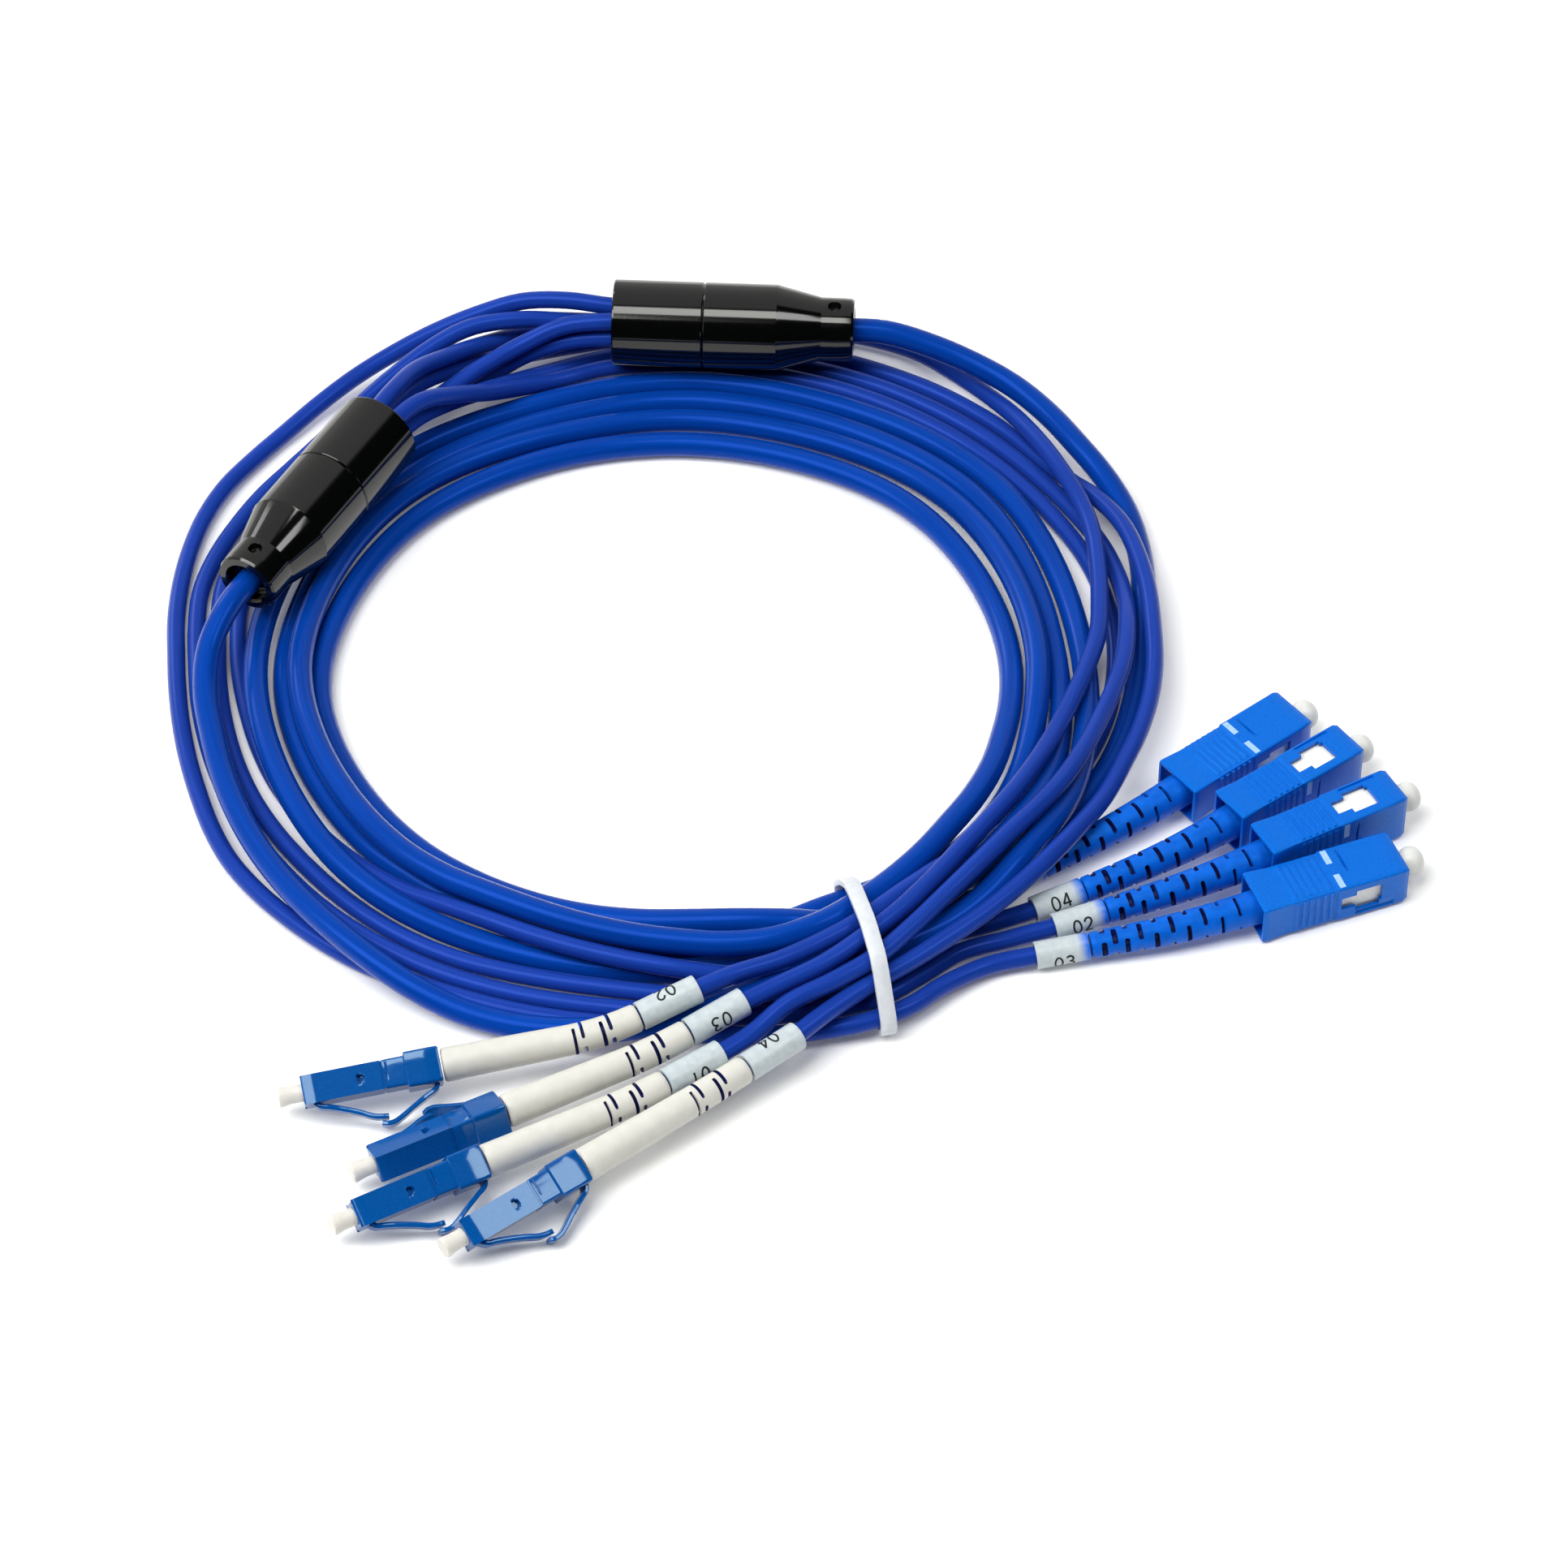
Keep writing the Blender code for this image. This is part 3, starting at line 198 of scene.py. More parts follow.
# The cables: round PVC jackets over glass fibre, extruded in one length. The trunk runs 4.7 turns from
# housing to housing, and four tails leave the back of each. They rest on the floor and on each other,
# so their routes are listed and then settled, just as in the solid model.
BOX_CENTRE = (18.26, -16.81, 0.0)
TRUNK_DIAMETER = 4.1
LEG_DIAMETER = 3.0
ROUTE_SPACING = 8.0
CABLE_GAP = 0.35
FIT_GAP = 0.3
LIFT_UNDER_TIE = 1.6
LIFT_SPREAD = 16.0
SETTLE_ROUNDS = 800
HOUSING_DIAMETER = 14.6
HOUSING_SLEEVE_LENGTH = 15.2
HOUSING_BARREL_LENGTH = 12.5
HOUSING_CONE_LENGTH = 7.2
HOUSING_NECK_LENGTH = 5.8
HOUSING_NECK_DIAMETER = 10.8
HOUSING_BORE_DIAMETER = 11.6
HOUSING_BORE_DEPTH = 8.0
LEG_CIRCLE_RADIUS = 2.7
GLAND_BORE_DEPTH = 3.0
TIE_CENTRE = (30.6, -60.4)
TIE_HEADING = 14.0
SC_GRIP_LENGTH = 25.0
SC_BODY_BACK_RECESS = 2.6
SC_BOOT_LENGTH = 29.0
SC_BOOT_FRONT_DIAMETER = 5.7
SC_LABEL_LENGTH = 8.5
SC_LABEL_DIAMETER = 4.4
LC_FRONT_LENGTH = 12.4
LC_REAR_LENGTH = 8.8
LC_BOOT_LENGTH = 31.0
LC_BOOT_FRONT_DIAMETER = 5.4
LC_LABEL_LENGTH = 10.0
LC_LABEL_DIAMETER = 4.6
# Where a boot starts to bend behind its front, and over what length
SC_BOOT_BEND = (4.6, 18.0)
LC_BOOT_BEND = (19.0, 12.0)
HOUSING_LENGTH = (HOUSING_SLEEVE_LENGTH + FIT_GAP + HOUSING_BARREL_LENGTH + HOUSING_CONE_LENGTH
                  + HOUSING_NECK_LENGTH)

# Where each housing lies: the centre of its rear end, the heading of its neck, and its height
HOUSING_A = {"rear": (-11.0, 75.4), "heading": -2.8, "height": 11.3}
HOUSING_B = {"rear": (-49.6, 46.8), "heading": -119.4, "height": 13.3}

# Where each connector lies: number, centre of its front face, heading, height there, pitch and
# roll, then the heading and pitch of the label at the end of its bent boot
SC_PLACES = (
    (1, (100.3, -10.7), 38.5, 3.95, 0.0, 0.0, 31.0, 4.0),
    (4, (108.7, -18.9), 36.4, 4.75, 0.0, 90.0, 23.0, 6.0),
    (2, (115.4, -29.1), 28.5, 4.75, 0.0, 90.0, 17.0, 6.0),
    (3, (115.0, -42.0), 21.0, 3.95, 0.0, 0.0, 10.5, 4.0),
)
LC_PLACES = (
    (1, (-46.7, -113.7), 208.0, 5.05, -0.6, -120.0, 213.5, -2.2),
    (2, (-55.7, -89.5), 191.5, 4.95, -3.6, -120.0, 206.0, -8.5),
    (3, (-44.2, -103.1), 205.5, 4.4, -3.0, 112.0, 211.5, -7.5),
    (4, (-30.1, -117.5), 217.0, 5.05, -0.8, -120.0, 218.5, -2.2),
)

# The trunk's turns, seen from above: clock angle run since housing A, radius and height
TRUNK_TURNS = (
    (73, 75.5, 2.1), (87, 74.2, 2.1), (100, 71.8, 2.1), (112, 67.0, 2.1), (121, 65.4, 2.1),
    (130, 64.4, 3.6), (139, 63.0, 6.2), (148, 60.6, 6.0), (158, 58.0, 3.6), (172, 56.0, 2.1),
    (200, 56.0, 2.1), (247, 58.5, 2.1), (290, 58.6, 2.1), (315, 56.8, 2.1), (337, 55.6, 2.1),
    (380, 56.2, 2.1), (427, 57.8, 2.1), (450, 60.0, 3.4), (466, 61.0, 4.4), (480, 63.4, 4.6),
    (492, 64.8, 5.0), (504, 64.0, 5.0), (517, 62.0, 5.4), (560, 60.5, 5.6), (607, 61.2, 5.4),
    (650, 62.4, 3.5), (697, 61.6, 2.1), (745, 61.5, 4.0), (787, 60.2, 5.6), (830, 62.4, 2.1),
    (850, 61.4, 2.1), (862, 61.4, 2.1), (880, 61.6, 2.1), (925, 62.0, 2.1), (967, 63.6, 2.1),
    (1010, 66.0, 2.1), (1057, 66.4, 2.1), (1105, 66.0, 2.1), (1147, 62.4, 2.1), (1172, 65.4, 6.0),
    (1182, 66.0, 7.6), (1195, 66.4, 7.0), (1210, 65.8, 3.7), (1237, 63.8, 2.1), (1285, 66.5, 2.1),
    (1327, 68.4, 2.1), (1349, 69.0, 2.1), (1370, 69.8, 2.1), (1417, 70.4, 2.1), (1465, 70.6, 2.1),
    (1507, 66.6, 2.1), (1532, 68.4, 5.0), (1545, 69.0, 6.2), (1557, 70.0, 4.0), (1570, 70.2, 4.6),
    (1584, 71.5, 6.6), (1598, 76.0, 7.0), (1618, 77.4, 3.2), (1640, 76.4, 5.0), (1660, 75.8, 5.4),
    (1676, 75.6, 7.2),
)
# Its way out of housing A and down to the floor, over the LC tails
TRUNK_START = (
    (36.5, 72.7, 11.2), (44.3, 70.6, 9.6), (57.3, 63.8, 6.8), (67.6, 50.9, 5.0),
    (73.6, 41.0, 3.0), (76.8, 29.0, 2.1), (76.8, 10.0, 2.1),
)
# Its way up into housing B
TRUNK_END = ((-75.6, -4.5, 9.2), (-74.6, 1.6, 11.2))
TRUNK_START_ANGLE = 67.0

# Points along each tail, from its housing to its connector
SC_TAILS = {
    3: ((-24, 79.0, 12), (-38.7, 77.4, 8), (-53.4, 70.6, 4), (-67.5, 56.8, 1.5), (-76.7, 43.4, 1.5),
        (-81.8, 20.8, 1.5), (-81.2, 5, 1.5), (-79.8, -8, 1.5), (-76.8, -22.0, 1.5), (-69.7, -40, 1.5),
        (-59.9, -51.8, 1.5), (-47.0, -61.8, 1.5), (-30, -68.6, 1.5), (-8, -72.6, 1.5),
        (12, -74.4, 1.5), (33.4, -70.4, 3.1), (44.5, -63.6, 2.2)),
    2: ((-24, 76.8, 10.4), (-35, 74.0, 9.4), (-46.6, 67.0, 6.0), (-60.8, 53.5, 1.5), (-70.8, 39.5, 1.5),
        (-77.9, 20.0, 1.5), (-77.7, 6.0, 1.5), (-75.8, -8, 1.5), (-71.6, -22.0, 1.5), (-64.4, -36, 1.5),
        (-53.2, -49.5, 1.5), (-41.2, -58.4, 1.5), (-25, -65.5, 1.5), (-5, -69.4, 1.5),
        (14, -70.4, 1.5), (32.8, -67.9, 3.1), (45.8, -58.2, 2.2)),
    4: ((-24, 73.8, 7.0), (-34, 70.0, 3.8), (-43.8, 63.0, 3.6), (-55, 52.0, 2.4), (-66.0, 38.6, 1.5),
        (-73.2, 24.5, 1.5), (-74.2, 10.0, 1.5), (-72.4, -8, 1.5), (-66.8, -24.2, 1.5), (-56.8, -38, 1.5),
        (-46, -47.8, 1.5), (-34.0, -55.2, 1.8), (-20, -61.5, 2.5), (-3, -65.6, 2.0),
        (14, -66.8, 1.5), (32.0, -65.0, 3.1), (44.6, -54.2, 2.2)),
    1: ((-24, 72.6, 9.6), (-33, 67.0, 7.6), (-42.0, 59.4, 5.5), (-51, 48.6, 2.2), (-61.5, 36.6, 1.5),
        (-69.8, 24, 1.5), (-71.2, 12.0, 1.5), (-68.6, -6, 1.5), (-61.8, -24.0, 1.5), (-52.0, -37.0, 1.5),
        (-42, -45.6, 1.8), (-28.0, -54.6, 4.0), (-14, -60.6, 5.0), (0, -63.4, 4.5),
        (14, -63.8, 3.0), (31.5, -62.2, 3.1), (43.8, -49.8, 2.2)),
}
LC_TAILS = {
    3: ((-45.5, 60.5, 13.0), (-38.6, 69.5, 9.0), (-27, 78.6, 4.4), (-10, 84.6, 1.5), (12, 84.6, 1.5),
        (30, 81.6, 1.5), (38.9, 78.2, 1.5), (46.9, 71.5, 1.5), (54.7, 61.6, 2.6), (62.1, 48.6, 4.5),
        (68.2, 34.1, 4.6), (69.9, 15.4, 4.8), (69.4, 5.4, 5.0), (66.2, -6.0, 5.2),
        (62.3, -16.4, 5.4), (57.3, -27.3, 6.8), (45.4, -45.0, 8.2), (33.0, -59.6, 8.6), (19.2, -71.0, 9.3)),
    4: ((-45.0, 58.5, 9.6), (-37.0, 67.5, 6.0), (-25, 75.6, 2.6), (-8, 81.2, 1.5), (12, 80.0, 1.5),
        (30.9, 74.2, 1.5), (44.1, 67.3, 1.5), (55.4, 57.7, 1.5), (63.4, 47.2, 1.8), (68.6, 41.2, 3.4),
        (72.7, 34.7, 4.9), (75.7, 26.2, 5.6), (77.5, 17.0, 5.6), (78.0, 7.0, 5.6), (77.7, -2.6, 5.6),
        (75.2, -13.8, 5.7), (71.3, -23.4, 5.8), (67.7, -31.0, 6.0), (61.6, -39.8, 7.2),
        (48.0, -54.5, 7.2), (34.5, -66.4, 7.2), (25.0, -74.2, 6.9)),
    1: ((-41.5, 56.0, 9.6), (-32.8, 65.0, 6.0), (-22, 72.4, 2.6), (-8, 77.4, 1.5), (12, 76.0, 1.5),
        (30.9, 70.5, 1.5), (46.2, 61.2, 1.5), (58.0, 50.1, 1.5), (64.6, 41.5, 1.5), (69.9, 32.6, 1.5),
        (73.4, 20.0, 2.8), (73.9, 8.9, 5.2), (72.6, -2.0, 5.6), (69.5, -11.8, 5.6),
        (65.6, -21.8, 5.8), (60.6, -31.4, 6.8), (53.1, -41.0, 8.0), (42.0, -54.0, 8.2),
        (32.3, -64.6, 8.4), (16.3, -75.2, 7.8)),
    2: ((-40.8, 54.0, 13), (-32.0, 61.0, 6.5), (-23, 67.6, 1.7), (-13, 72.0, 1.5), (12, 72.6, 1.5),
        (30.9, 67.1, 1.5), (44.6, 58.6, 1.5), (56.0, 47.6, 1.5), (62.6, 38.8, 1.5), (67.6, 29.6, 1.5),
        (71.2, 17.0, 1.5), (71.9, 5.0, 1.8), (69.5, -8.0, 2.4), (64.0, -20.6, 3.4),
        (56.6, -31.4, 4.6), (46.2, -43.8, 7.0), (30.8, -57.8, 9.0), (20.4, -64.8, 9.4), (12.4, -69.2, 9.8)),
}
# The quarter of a housing's bore that each tail leaves, so that none crosses another there
SC_SLOTS = {3: 0, 1: 1, 4: 2, 2: 3}
LC_SLOTS = {2: 0, 3: 1, 4: 2, 1: 3}


def heading_vector(degrees):
    angle = math.radians(degrees)
    return np.array([math.cos(angle), math.sin(angle), 0.0])


def through_points(points, spacing):
    """Points at even spacing on a smooth curve through the given points.

    Each span is a cubic Hermite piece, whose end slopes are those of the chord between neighbours.
    """
    points = np.asarray(points, float)
    steps = np.linalg.norm(np.diff(points, axis=0), axis=1)
    along = np.concatenate([[0.0], np.cumsum(steps)])
    slopes = np.gradient(points, along, axis=0)
    fine = np.linspace(0.0, along[-1], int(along[-1] * 4))
    span = np.clip(np.searchsorted(along, fine, side="right") - 1, 0, len(steps) - 1)
    width = steps[span]
    t = ((fine - along[span]) / width)[:, None]
    width = width[:, None]
    curve = (
        (2 * t**3 - 3 * t**2 + 1) * points[span]
        + (t**3 - 2 * t**2 + t) * width * slopes[span]
        + (3 * t**2 - 2 * t**3) * points[span + 1]
        + (t**3 - t**2) * width * slopes[span + 1]
    )
    return evenly(curve, spacing)


def evenly(curve, spacing):
    """The same curve with its points an even distance apart."""
    steps = np.linalg.norm(np.diff(curve, axis=0), axis=1)
    along = np.concatenate([[0.0], np.cumsum(steps)])
    count = max(3, round(along[-1] / spacing))
    wanted = np.linspace(0.0, along[-1], count + 1)
    return np.stack([np.interp(wanted, along, curve[:, axis]) for axis in range(3)], axis=1)


def closest(first, first_run, second, second_run):
    """How far along two sets of segments, from 0 to 1, each pair comes closest."""
    between = first - second
    a = (first_run * first_run).sum(1)
    e = (second_run * second_run).sum(1)
    b = (first_run * second_run).sum(1)
    c = (first_run * between).sum(1)
    f = (second_run * between).sum(1)
    spread = np.maximum(a * e - b * b, 1e-9)
    s = np.clip((b * f - c * e) / spread, 0.0, 1.0)
    t = np.clip((b * s + f) / e, 0.0, 1.0)
    s = np.clip((b * t - c) / a, 0.0, 1.0)
    return s, t


def settle(strands, obstacles, rounds=SETTLE_ROUNDS):
    """Lets the cables rest on the floor and on each other, near their routes.

    Each strand is (points, radius, pinned points at its start, at its end). In every round the points
    are drawn to their route, weighed down and smoothed, and then any two stretches that are closer
    than their radii are pushed apart. Obstacles are (start, end, radius) of pieces that don't move.
    """
    points = np.concatenate([strand[0] for strand in strands] + [np.array(o[:2]) for o in obstacles])
    goal = points.copy()
    counts = [len(strand[0]) for strand in strands] + [2] * len(obstacles)
    owner = np.repeat(np.arange(len(counts)), counts)
    rank = np.concatenate([np.arange(count) for count in counts])
    radius = np.array([strand[1] for strand in strands] + [o[2] for o in obstacles])[owner]
    free = np.ones(len(points))
    free[owner >= len(strands)] = 0.0
    for number, (route, _, at_start, at_end) in enumerate(strands):
        mine = owner == number
        free[mine & (rank < at_start)] = 0.0
        free[mine & (rank >= len(route) - at_end)] = 0.0
    starts = np.flatnonzero(owner[:-1] == owner[1:])
    inner = starts[1:][owner[starts[1:] - 1] == owner[starts[1:]]]
    centre = np.array(TIE_CENTRE)
    tie_run = heading_vector(TIE_HEADING)[:2]
    loose = free[:, None]
    first = second = None
    for turn in range(rounds):
        calm = turn > rounds * 0.8
        if turn % 12 == 0:
            middle = (points[starts] + points[starts + 1]) / 2
            reach = np.linalg.norm(middle[:, None] - middle[None], axis=2)
            near = radius[starts][:, None] + radius[starts][None] + 2 * ROUTE_SPACING
            long = np.linalg.norm(points[starts + 1] - points[starts], axis=1)
            near = near + long[:, None] / 2 + long[None] / 2 - ROUTE_SPACING
            apart = (owner[starts][:, None] != owner[starts][None]) | (
                np.abs(rank[starts][:, None] - rank[starts][None]) > 4
            )
            moving = (free[starts][:, None] + free[starts][None]) > 0
            first, second = np.nonzero(np.triu((reach < near) & apart & moving, 1))
            first, second = starts[first], starts[second]
        if not calm:
            points[:, :2] += 0.03 * loose * (goal - points)[:, :2]
            points[:, 2] += 0.01 * free * (goal - points)[:, 2] - 0.03 * free
        shift = points - goal
        pull = (shift[inner - 1] + shift[inner + 1]) / 2 - shift[inner]
        points[inner] += (0.12 if calm else 0.5) * loose[inner] * pull
        run_one = points[first + 1] - points[first]
        run_two = points[second + 1] - points[second]
        s, t = closest(points[first], run_one, points[second], run_two)
        apart = points[first] + s[:, None] * run_one - points[second] - t[:, None] * run_two
        distance = np.maximum(np.linalg.norm(apart, axis=1), 1e-6)
        short = radius[first] + radius[second] + CABLE_GAP - distance
        hit = short > 0
        push = np.zeros_like(points)
        share = np.zeros(len(points))
        way = apart[hit] / distance[hit][:, None] * short[hit][:, None]
        one, two, s, t = first[hit], second[hit], s[hit], t[hit]
        weight = (
            free[one] * (1 - s) ** 2 + free[one + 1] * s**2
            + free[two] * (1 - t) ** 2 + free[two + 1] * t**2
        )
        way = way / np.maximum(weight, 0.05)[:, None]
        for index, part, sign in ((one, 1 - s, 1), (one + 1, s, 1), (two, 1 - t, -1), (two + 1, t, -1)):
            np.add.at(push, index, sign * part[:, None] * way)
            np.add.at(share, index, part)
        points += loose * push / np.maximum(share, 1.0)[:, None] * 0.7
        from_tie = points[:, :2] - centre
        bump = np.exp(-((from_tie @ tie_run) / LIFT_SPREAD) ** 2)
        bump *= np.linalg.norm(from_tie, axis=1) < 30
        low = radius + LIFT_UNDER_TIE * bump
        points[:, 2] = np.where((free > 0) & (points[:, 2] < low), low, points[:, 2])
    return [points[owner == number] for number in range(len(strands))]


def housing_frame(place):
    """The matrix that puts a housing's own axis, +X out of its neck, where the housing lies."""
    x, y = place["rear"]
    turn = Matrix.Rotation(math.radians(place["heading"]), 4, "Z")
    return Matrix.Translation(Vector((x, y, place["height"]))) @ turn


def pose(place, heading, height, pitch, roll=0.0):
    """The matrix that turns +X to a heading and lifts it by a pitch, after a roll about it."""
    turn = Matrix.Rotation(math.radians(heading), 4, "Z")
    tip = Matrix.Rotation(math.radians(-pitch), 4, "Y")
    side = Matrix.Rotation(math.radians(roll), 4, "X")
    return Matrix.Translation(Vector((place[0], place[1], height))) @ turn @ tip @ side


def connector_frame(place):
    """The matrix of a connector: +X out of its front face, +Z out of its keyed side."""
    _, front, heading, height, pitch, roll, _, _ = place
    return pose(front, heading, height, pitch, roll)


def on_axis(frame, *distances):
    """Points on the X axis of a frame, at these distances from its origin."""
    return [np.array(frame @ Vector((distance, 0.0, 0.0))) for distance in distances]


def behind(place, boot_front, distances):
    """Points on the axis of a boot and its label, at these distances behind the boot's front.

    The axis starts straight, bends evenly to the label's heading and pitch, and ends straight.
    """
    _, _, heading, _, pitch, _, label_heading, label_pitch = place
    straight, bend = SC_BOOT_BEND if boot_front == SC_BOOT_FRONT else LC_BOOT_BEND
    steps = np.arange(0.0, max(distances) + 1.0, 0.25)
    turned = np.clip((steps - straight) / bend, 0.0, 1.0)
    headings = np.radians(heading + turned * (label_heading - heading))
    pitches = np.radians(pitch + turned * (label_pitch - pitch))
    flat = np.cos(pitches)
    way = np.stack([flat * np.cos(headings), flat * np.sin(headings), np.sin(pitches)], axis=1)
    start = on_axis(connector_frame(place), boot_front)[0]
    line = start - np.vstack([[0.0, 0.0, 0.0], np.cumsum(way[:-1] * 0.25, axis=0)])
    return np.stack([np.interp(distances, steps, line[:, axis]) for axis in range(3)], axis=1)


SC_BOOT_FRONT = -(SC_GRIP_LENGTH - SC_BODY_BACK_RECESS + FIT_GAP)
LC_BOOT_FRONT = -(LC_FRONT_LENGTH + LC_REAR_LENGTH + 2 * FIT_GAP)


def tail_route(housing, slot, points, place, boot_front, boot_length, label_length):
    """A tail's points: out of one quarter of a housing's bore, along its way, into its connector."""
    frame = housing_frame(housing)
    angle = math.radians(45 + 90 * slot)
    y, z = LEG_CIRCLE_RADIUS * math.cos(angle), LEG_CIRCLE_RADIUS * math.sin(angle)
    deep = HOUSING_BORE_DEPTH - FIT_GAP
    start = [np.array(frame @ Vector((x, y, z))) for x in (deep, deep / 2, 0.0, -4.0)]
    label_back = boot_length + FIT_GAP + label_length
    end = behind(place, boot_front, (label_back + 4.0, label_back, label_back - label_length / 2,
                                     boot_length + FIT_GAP))
    return np.array(start + [np.array(point, float) for point in points] + list(end))


def trunk_route():
    """The trunk's points: out of housing A's neck, clockwise through its turns, up into housing B."""
    leaving = on_axis(housing_frame(HOUSING_A), HOUSING_LENGTH - GLAND_BORE_DEPTH + FIT_GAP,
                      HOUSING_LENGTH, HOUSING_LENGTH + 3)
    arriving = on_axis(housing_frame(HOUSING_B), HOUSING_LENGTH + 3, HOUSING_LENGTH,
                       HOUSING_LENGTH - GLAND_BORE_DEPTH + FIT_GAP)
    angles = np.radians(TRUNK_START_ANGLE - np.array([turn[0] for turn in TRUNK_TURNS]))
    radii = np.array([turn[1] for turn in TRUNK_TURNS])
    heights = np.array([turn[2] for turn in TRUNK_TURNS])
    turns = np.stack([radii * np.cos(angles), radii * np.sin(angles), heights], axis=1)
    return np.array([*leaving, *TRUNK_START, *turns, *TRUNK_END, *arriving], float)


def all_routes():
    """Every cable's settled centre line, in millimetres, by name."""
    names = ["trunk_cable"]
    strands = [(through_points(trunk_route(), ROUTE_SPACING), TRUNK_DIAMETER / 2, 2, 2)]
    obstacles = []
    for place in (HOUSING_A, HOUSING_B):
        frame = housing_frame(place)
        body = HOUSING_SLEEVE_LENGTH + HOUSING_BARREL_LENGTH
        ends = on_axis(frame, HOUSING_DIAMETER / 2 - 0.5, body - HOUSING_DIAMETER / 4)
        obstacles.append((*ends, HOUSING_DIAMETER / 2))
        ends = on_axis(frame, body - 2, body + 3)
        obstacles.append((*ends, HOUSING_DIAMETER / 2 - 0.8))
        ends = on_axis(frame, body, HOUSING_LENGTH - HOUSING_NECK_DIAMETER / 2)
        obstacles.append((*ends, HOUSING_NECK_DIAMETER / 2 + 0.4))
    kinds = (
        ("sc", SC_PLACES, SC_TAILS, SC_SLOTS, HOUSING_A, SC_BOOT_FRONT, SC_BOOT_LENGTH, SC_LABEL_LENGTH,
         SC_LABEL_DIAMETER, SC_BOOT_FRONT_DIAMETER),
        ("lc", LC_PLACES, LC_TAILS, LC_SLOTS, HOUSING_B, LC_BOOT_FRONT, LC_BOOT_LENGTH, LC_LABEL_LENGTH,
         LC_LABEL_DIAMETER, LC_BOOT_FRONT_DIAMETER),
    )
    for kind, places, tails, slots, housing, front, boot, label, label_wide, boot_wide in kinds:
        for place in places:
            route = tail_route(housing, slots[place[0]], tails[place[0]], place, front, boot, label)
            names.append(f"{kind}_tail_{place[0]}")
            strands.append((through_points(route, ROUTE_SPACING), LEG_DIAMETER / 2, 2, 3))
            ends = behind(place, front, (boot + label - 2.0, boot, boot / 2, 0.0))
            obstacles.append((ends[0], ends[1], label_wide / 2))
            obstacles.append((ends[1], ends[2], boot_wide / 2))
            obstacles.append((ends[2], ends[3], boot_wide / 2))
    return dict(zip(names, settle(strands, obstacles)))


def to_frame(points):
    """Points in millimetres from the middle of the coil, as metres in the frame."""
    return (np.asarray(points, float) - BOX_CENTRE) * 0.001


def patch(grid, keep=None, tint=None):
    """A patch from a grid of points, each cell a quad unless keep leaves it out, with tint's material.

    Its own map is in millimetres: u down the rows, v round the widest of them.
    """
    rows, columns = grid.shape[:2]
    corner = np.arange(rows * columns).reshape(rows, columns)
    quads = np.stack([corner[:-1, :-1], corner[:-1, 1:], corner[1:, 1:], corner[1:, :-1]], axis=-1)
    keep = np.ones(quads.shape[:2], bool) if keep is None else keep
    tint = np.zeros(quads.shape[:2], int) if tint is None else tint
    down = np.cumsum(np.linalg.norm(np.diff(grid[:, 0], axis=0, prepend=grid[:1, 0]), axis=1))
    around = np.linalg.norm(np.diff(grid, axis=1, prepend=grid[:, :1]), axis=2).max(axis=0)
    uv = np.stack(np.meshgrid(down, np.cumsum(around), indexing="ij"), axis=-1)
    return grid.reshape(-1, 3), uv.reshape(-1, 2), quads[keep], tint[keep]


def piece(name, patches, materials, body="cable", instead_of=(), crease=30.0):
    """A closed object from patches. Points that meet are made one, which closes seams and poles, and
    its faces are turned outwards. Edges sharper than the crease angle stay sharp."""
    starts = np.cumsum([0] + [len(made[0]) for made in patches[:-1]])
    quads = np.concatenate([made[2] + start for made, start in zip(patches, starts)])
    mesh = bpy.data.meshes.new(name)
    mesh.from_pydata(to_frame(np.concatenate([made[0] for made in patches])), [], quads)
    uv = np.concatenate([made[1] for made in patches])[quads.reshape(-1)]
    mesh.uv_layers.new(name="surface").data.foreach_set("uv", uv.astype(np.float32).reshape(-1))
    tints = np.concatenate([made[3] for made in patches]).astype(np.int32)
    mesh.polygons.foreach_set("material_index", tints)
    form = bmesh.new()
    form.from_mesh(mesh)
    bmesh.ops.remove_doubles(form, verts=form.verts[:], dist=3e-7)
    bmesh.ops.recalc_face_normals(form, faces=form.faces[:])
    form.to_mesh(mesh)
    form.free()
    mesh.shade_smooth()
    mesh.set_sharp_from_angle(angle=math.radians(crease))
    for material in materials:
        mesh.materials.append(material)
    made = bpy.data.objects.new(name, mesh)
    bpy.context.scene.collection.objects.link(made)
    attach(made, body)
    if instead_of:
        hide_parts(*instead_of)
    return made


def ring(radius):
    """A circle of 33 points about the way of a path, as (side, up), its last point on its first."""
    angles = np.linspace(0.0, 2 * math.pi, 33)
    return np.asarray(radius)[..., None, None] * np.stack([np.cos(angles), np.sin(angles)], axis=-1)


def carried(path, section):
    """A section's points carried along a path: side is level and square to the way, up is square to
    both. The section is one outline for all rows, or one for each."""
    way = np.gradient(path, axis=0)
    way /= np.linalg.norm(way, axis=1, keepdims=True)
    side = np.cross((0.0, 0.0, 1.0), way)
    side /= np.linalg.norm(side, axis=1, keepdims=True)
    up = np.cross(way, side)
    return path[:, None] + section[..., :1] * side[:, None] + section[..., 1:] * up[:, None]


def capped(grid):
    """The grid with a pole at each end: a row whose points all lie at the middle of the end row."""
    front, back = (np.broadcast_to(row[:-1].mean(axis=0), row.shape)[None] for row in (grid[0], grid[-1]))
    return np.concatenate([front, grid, back])


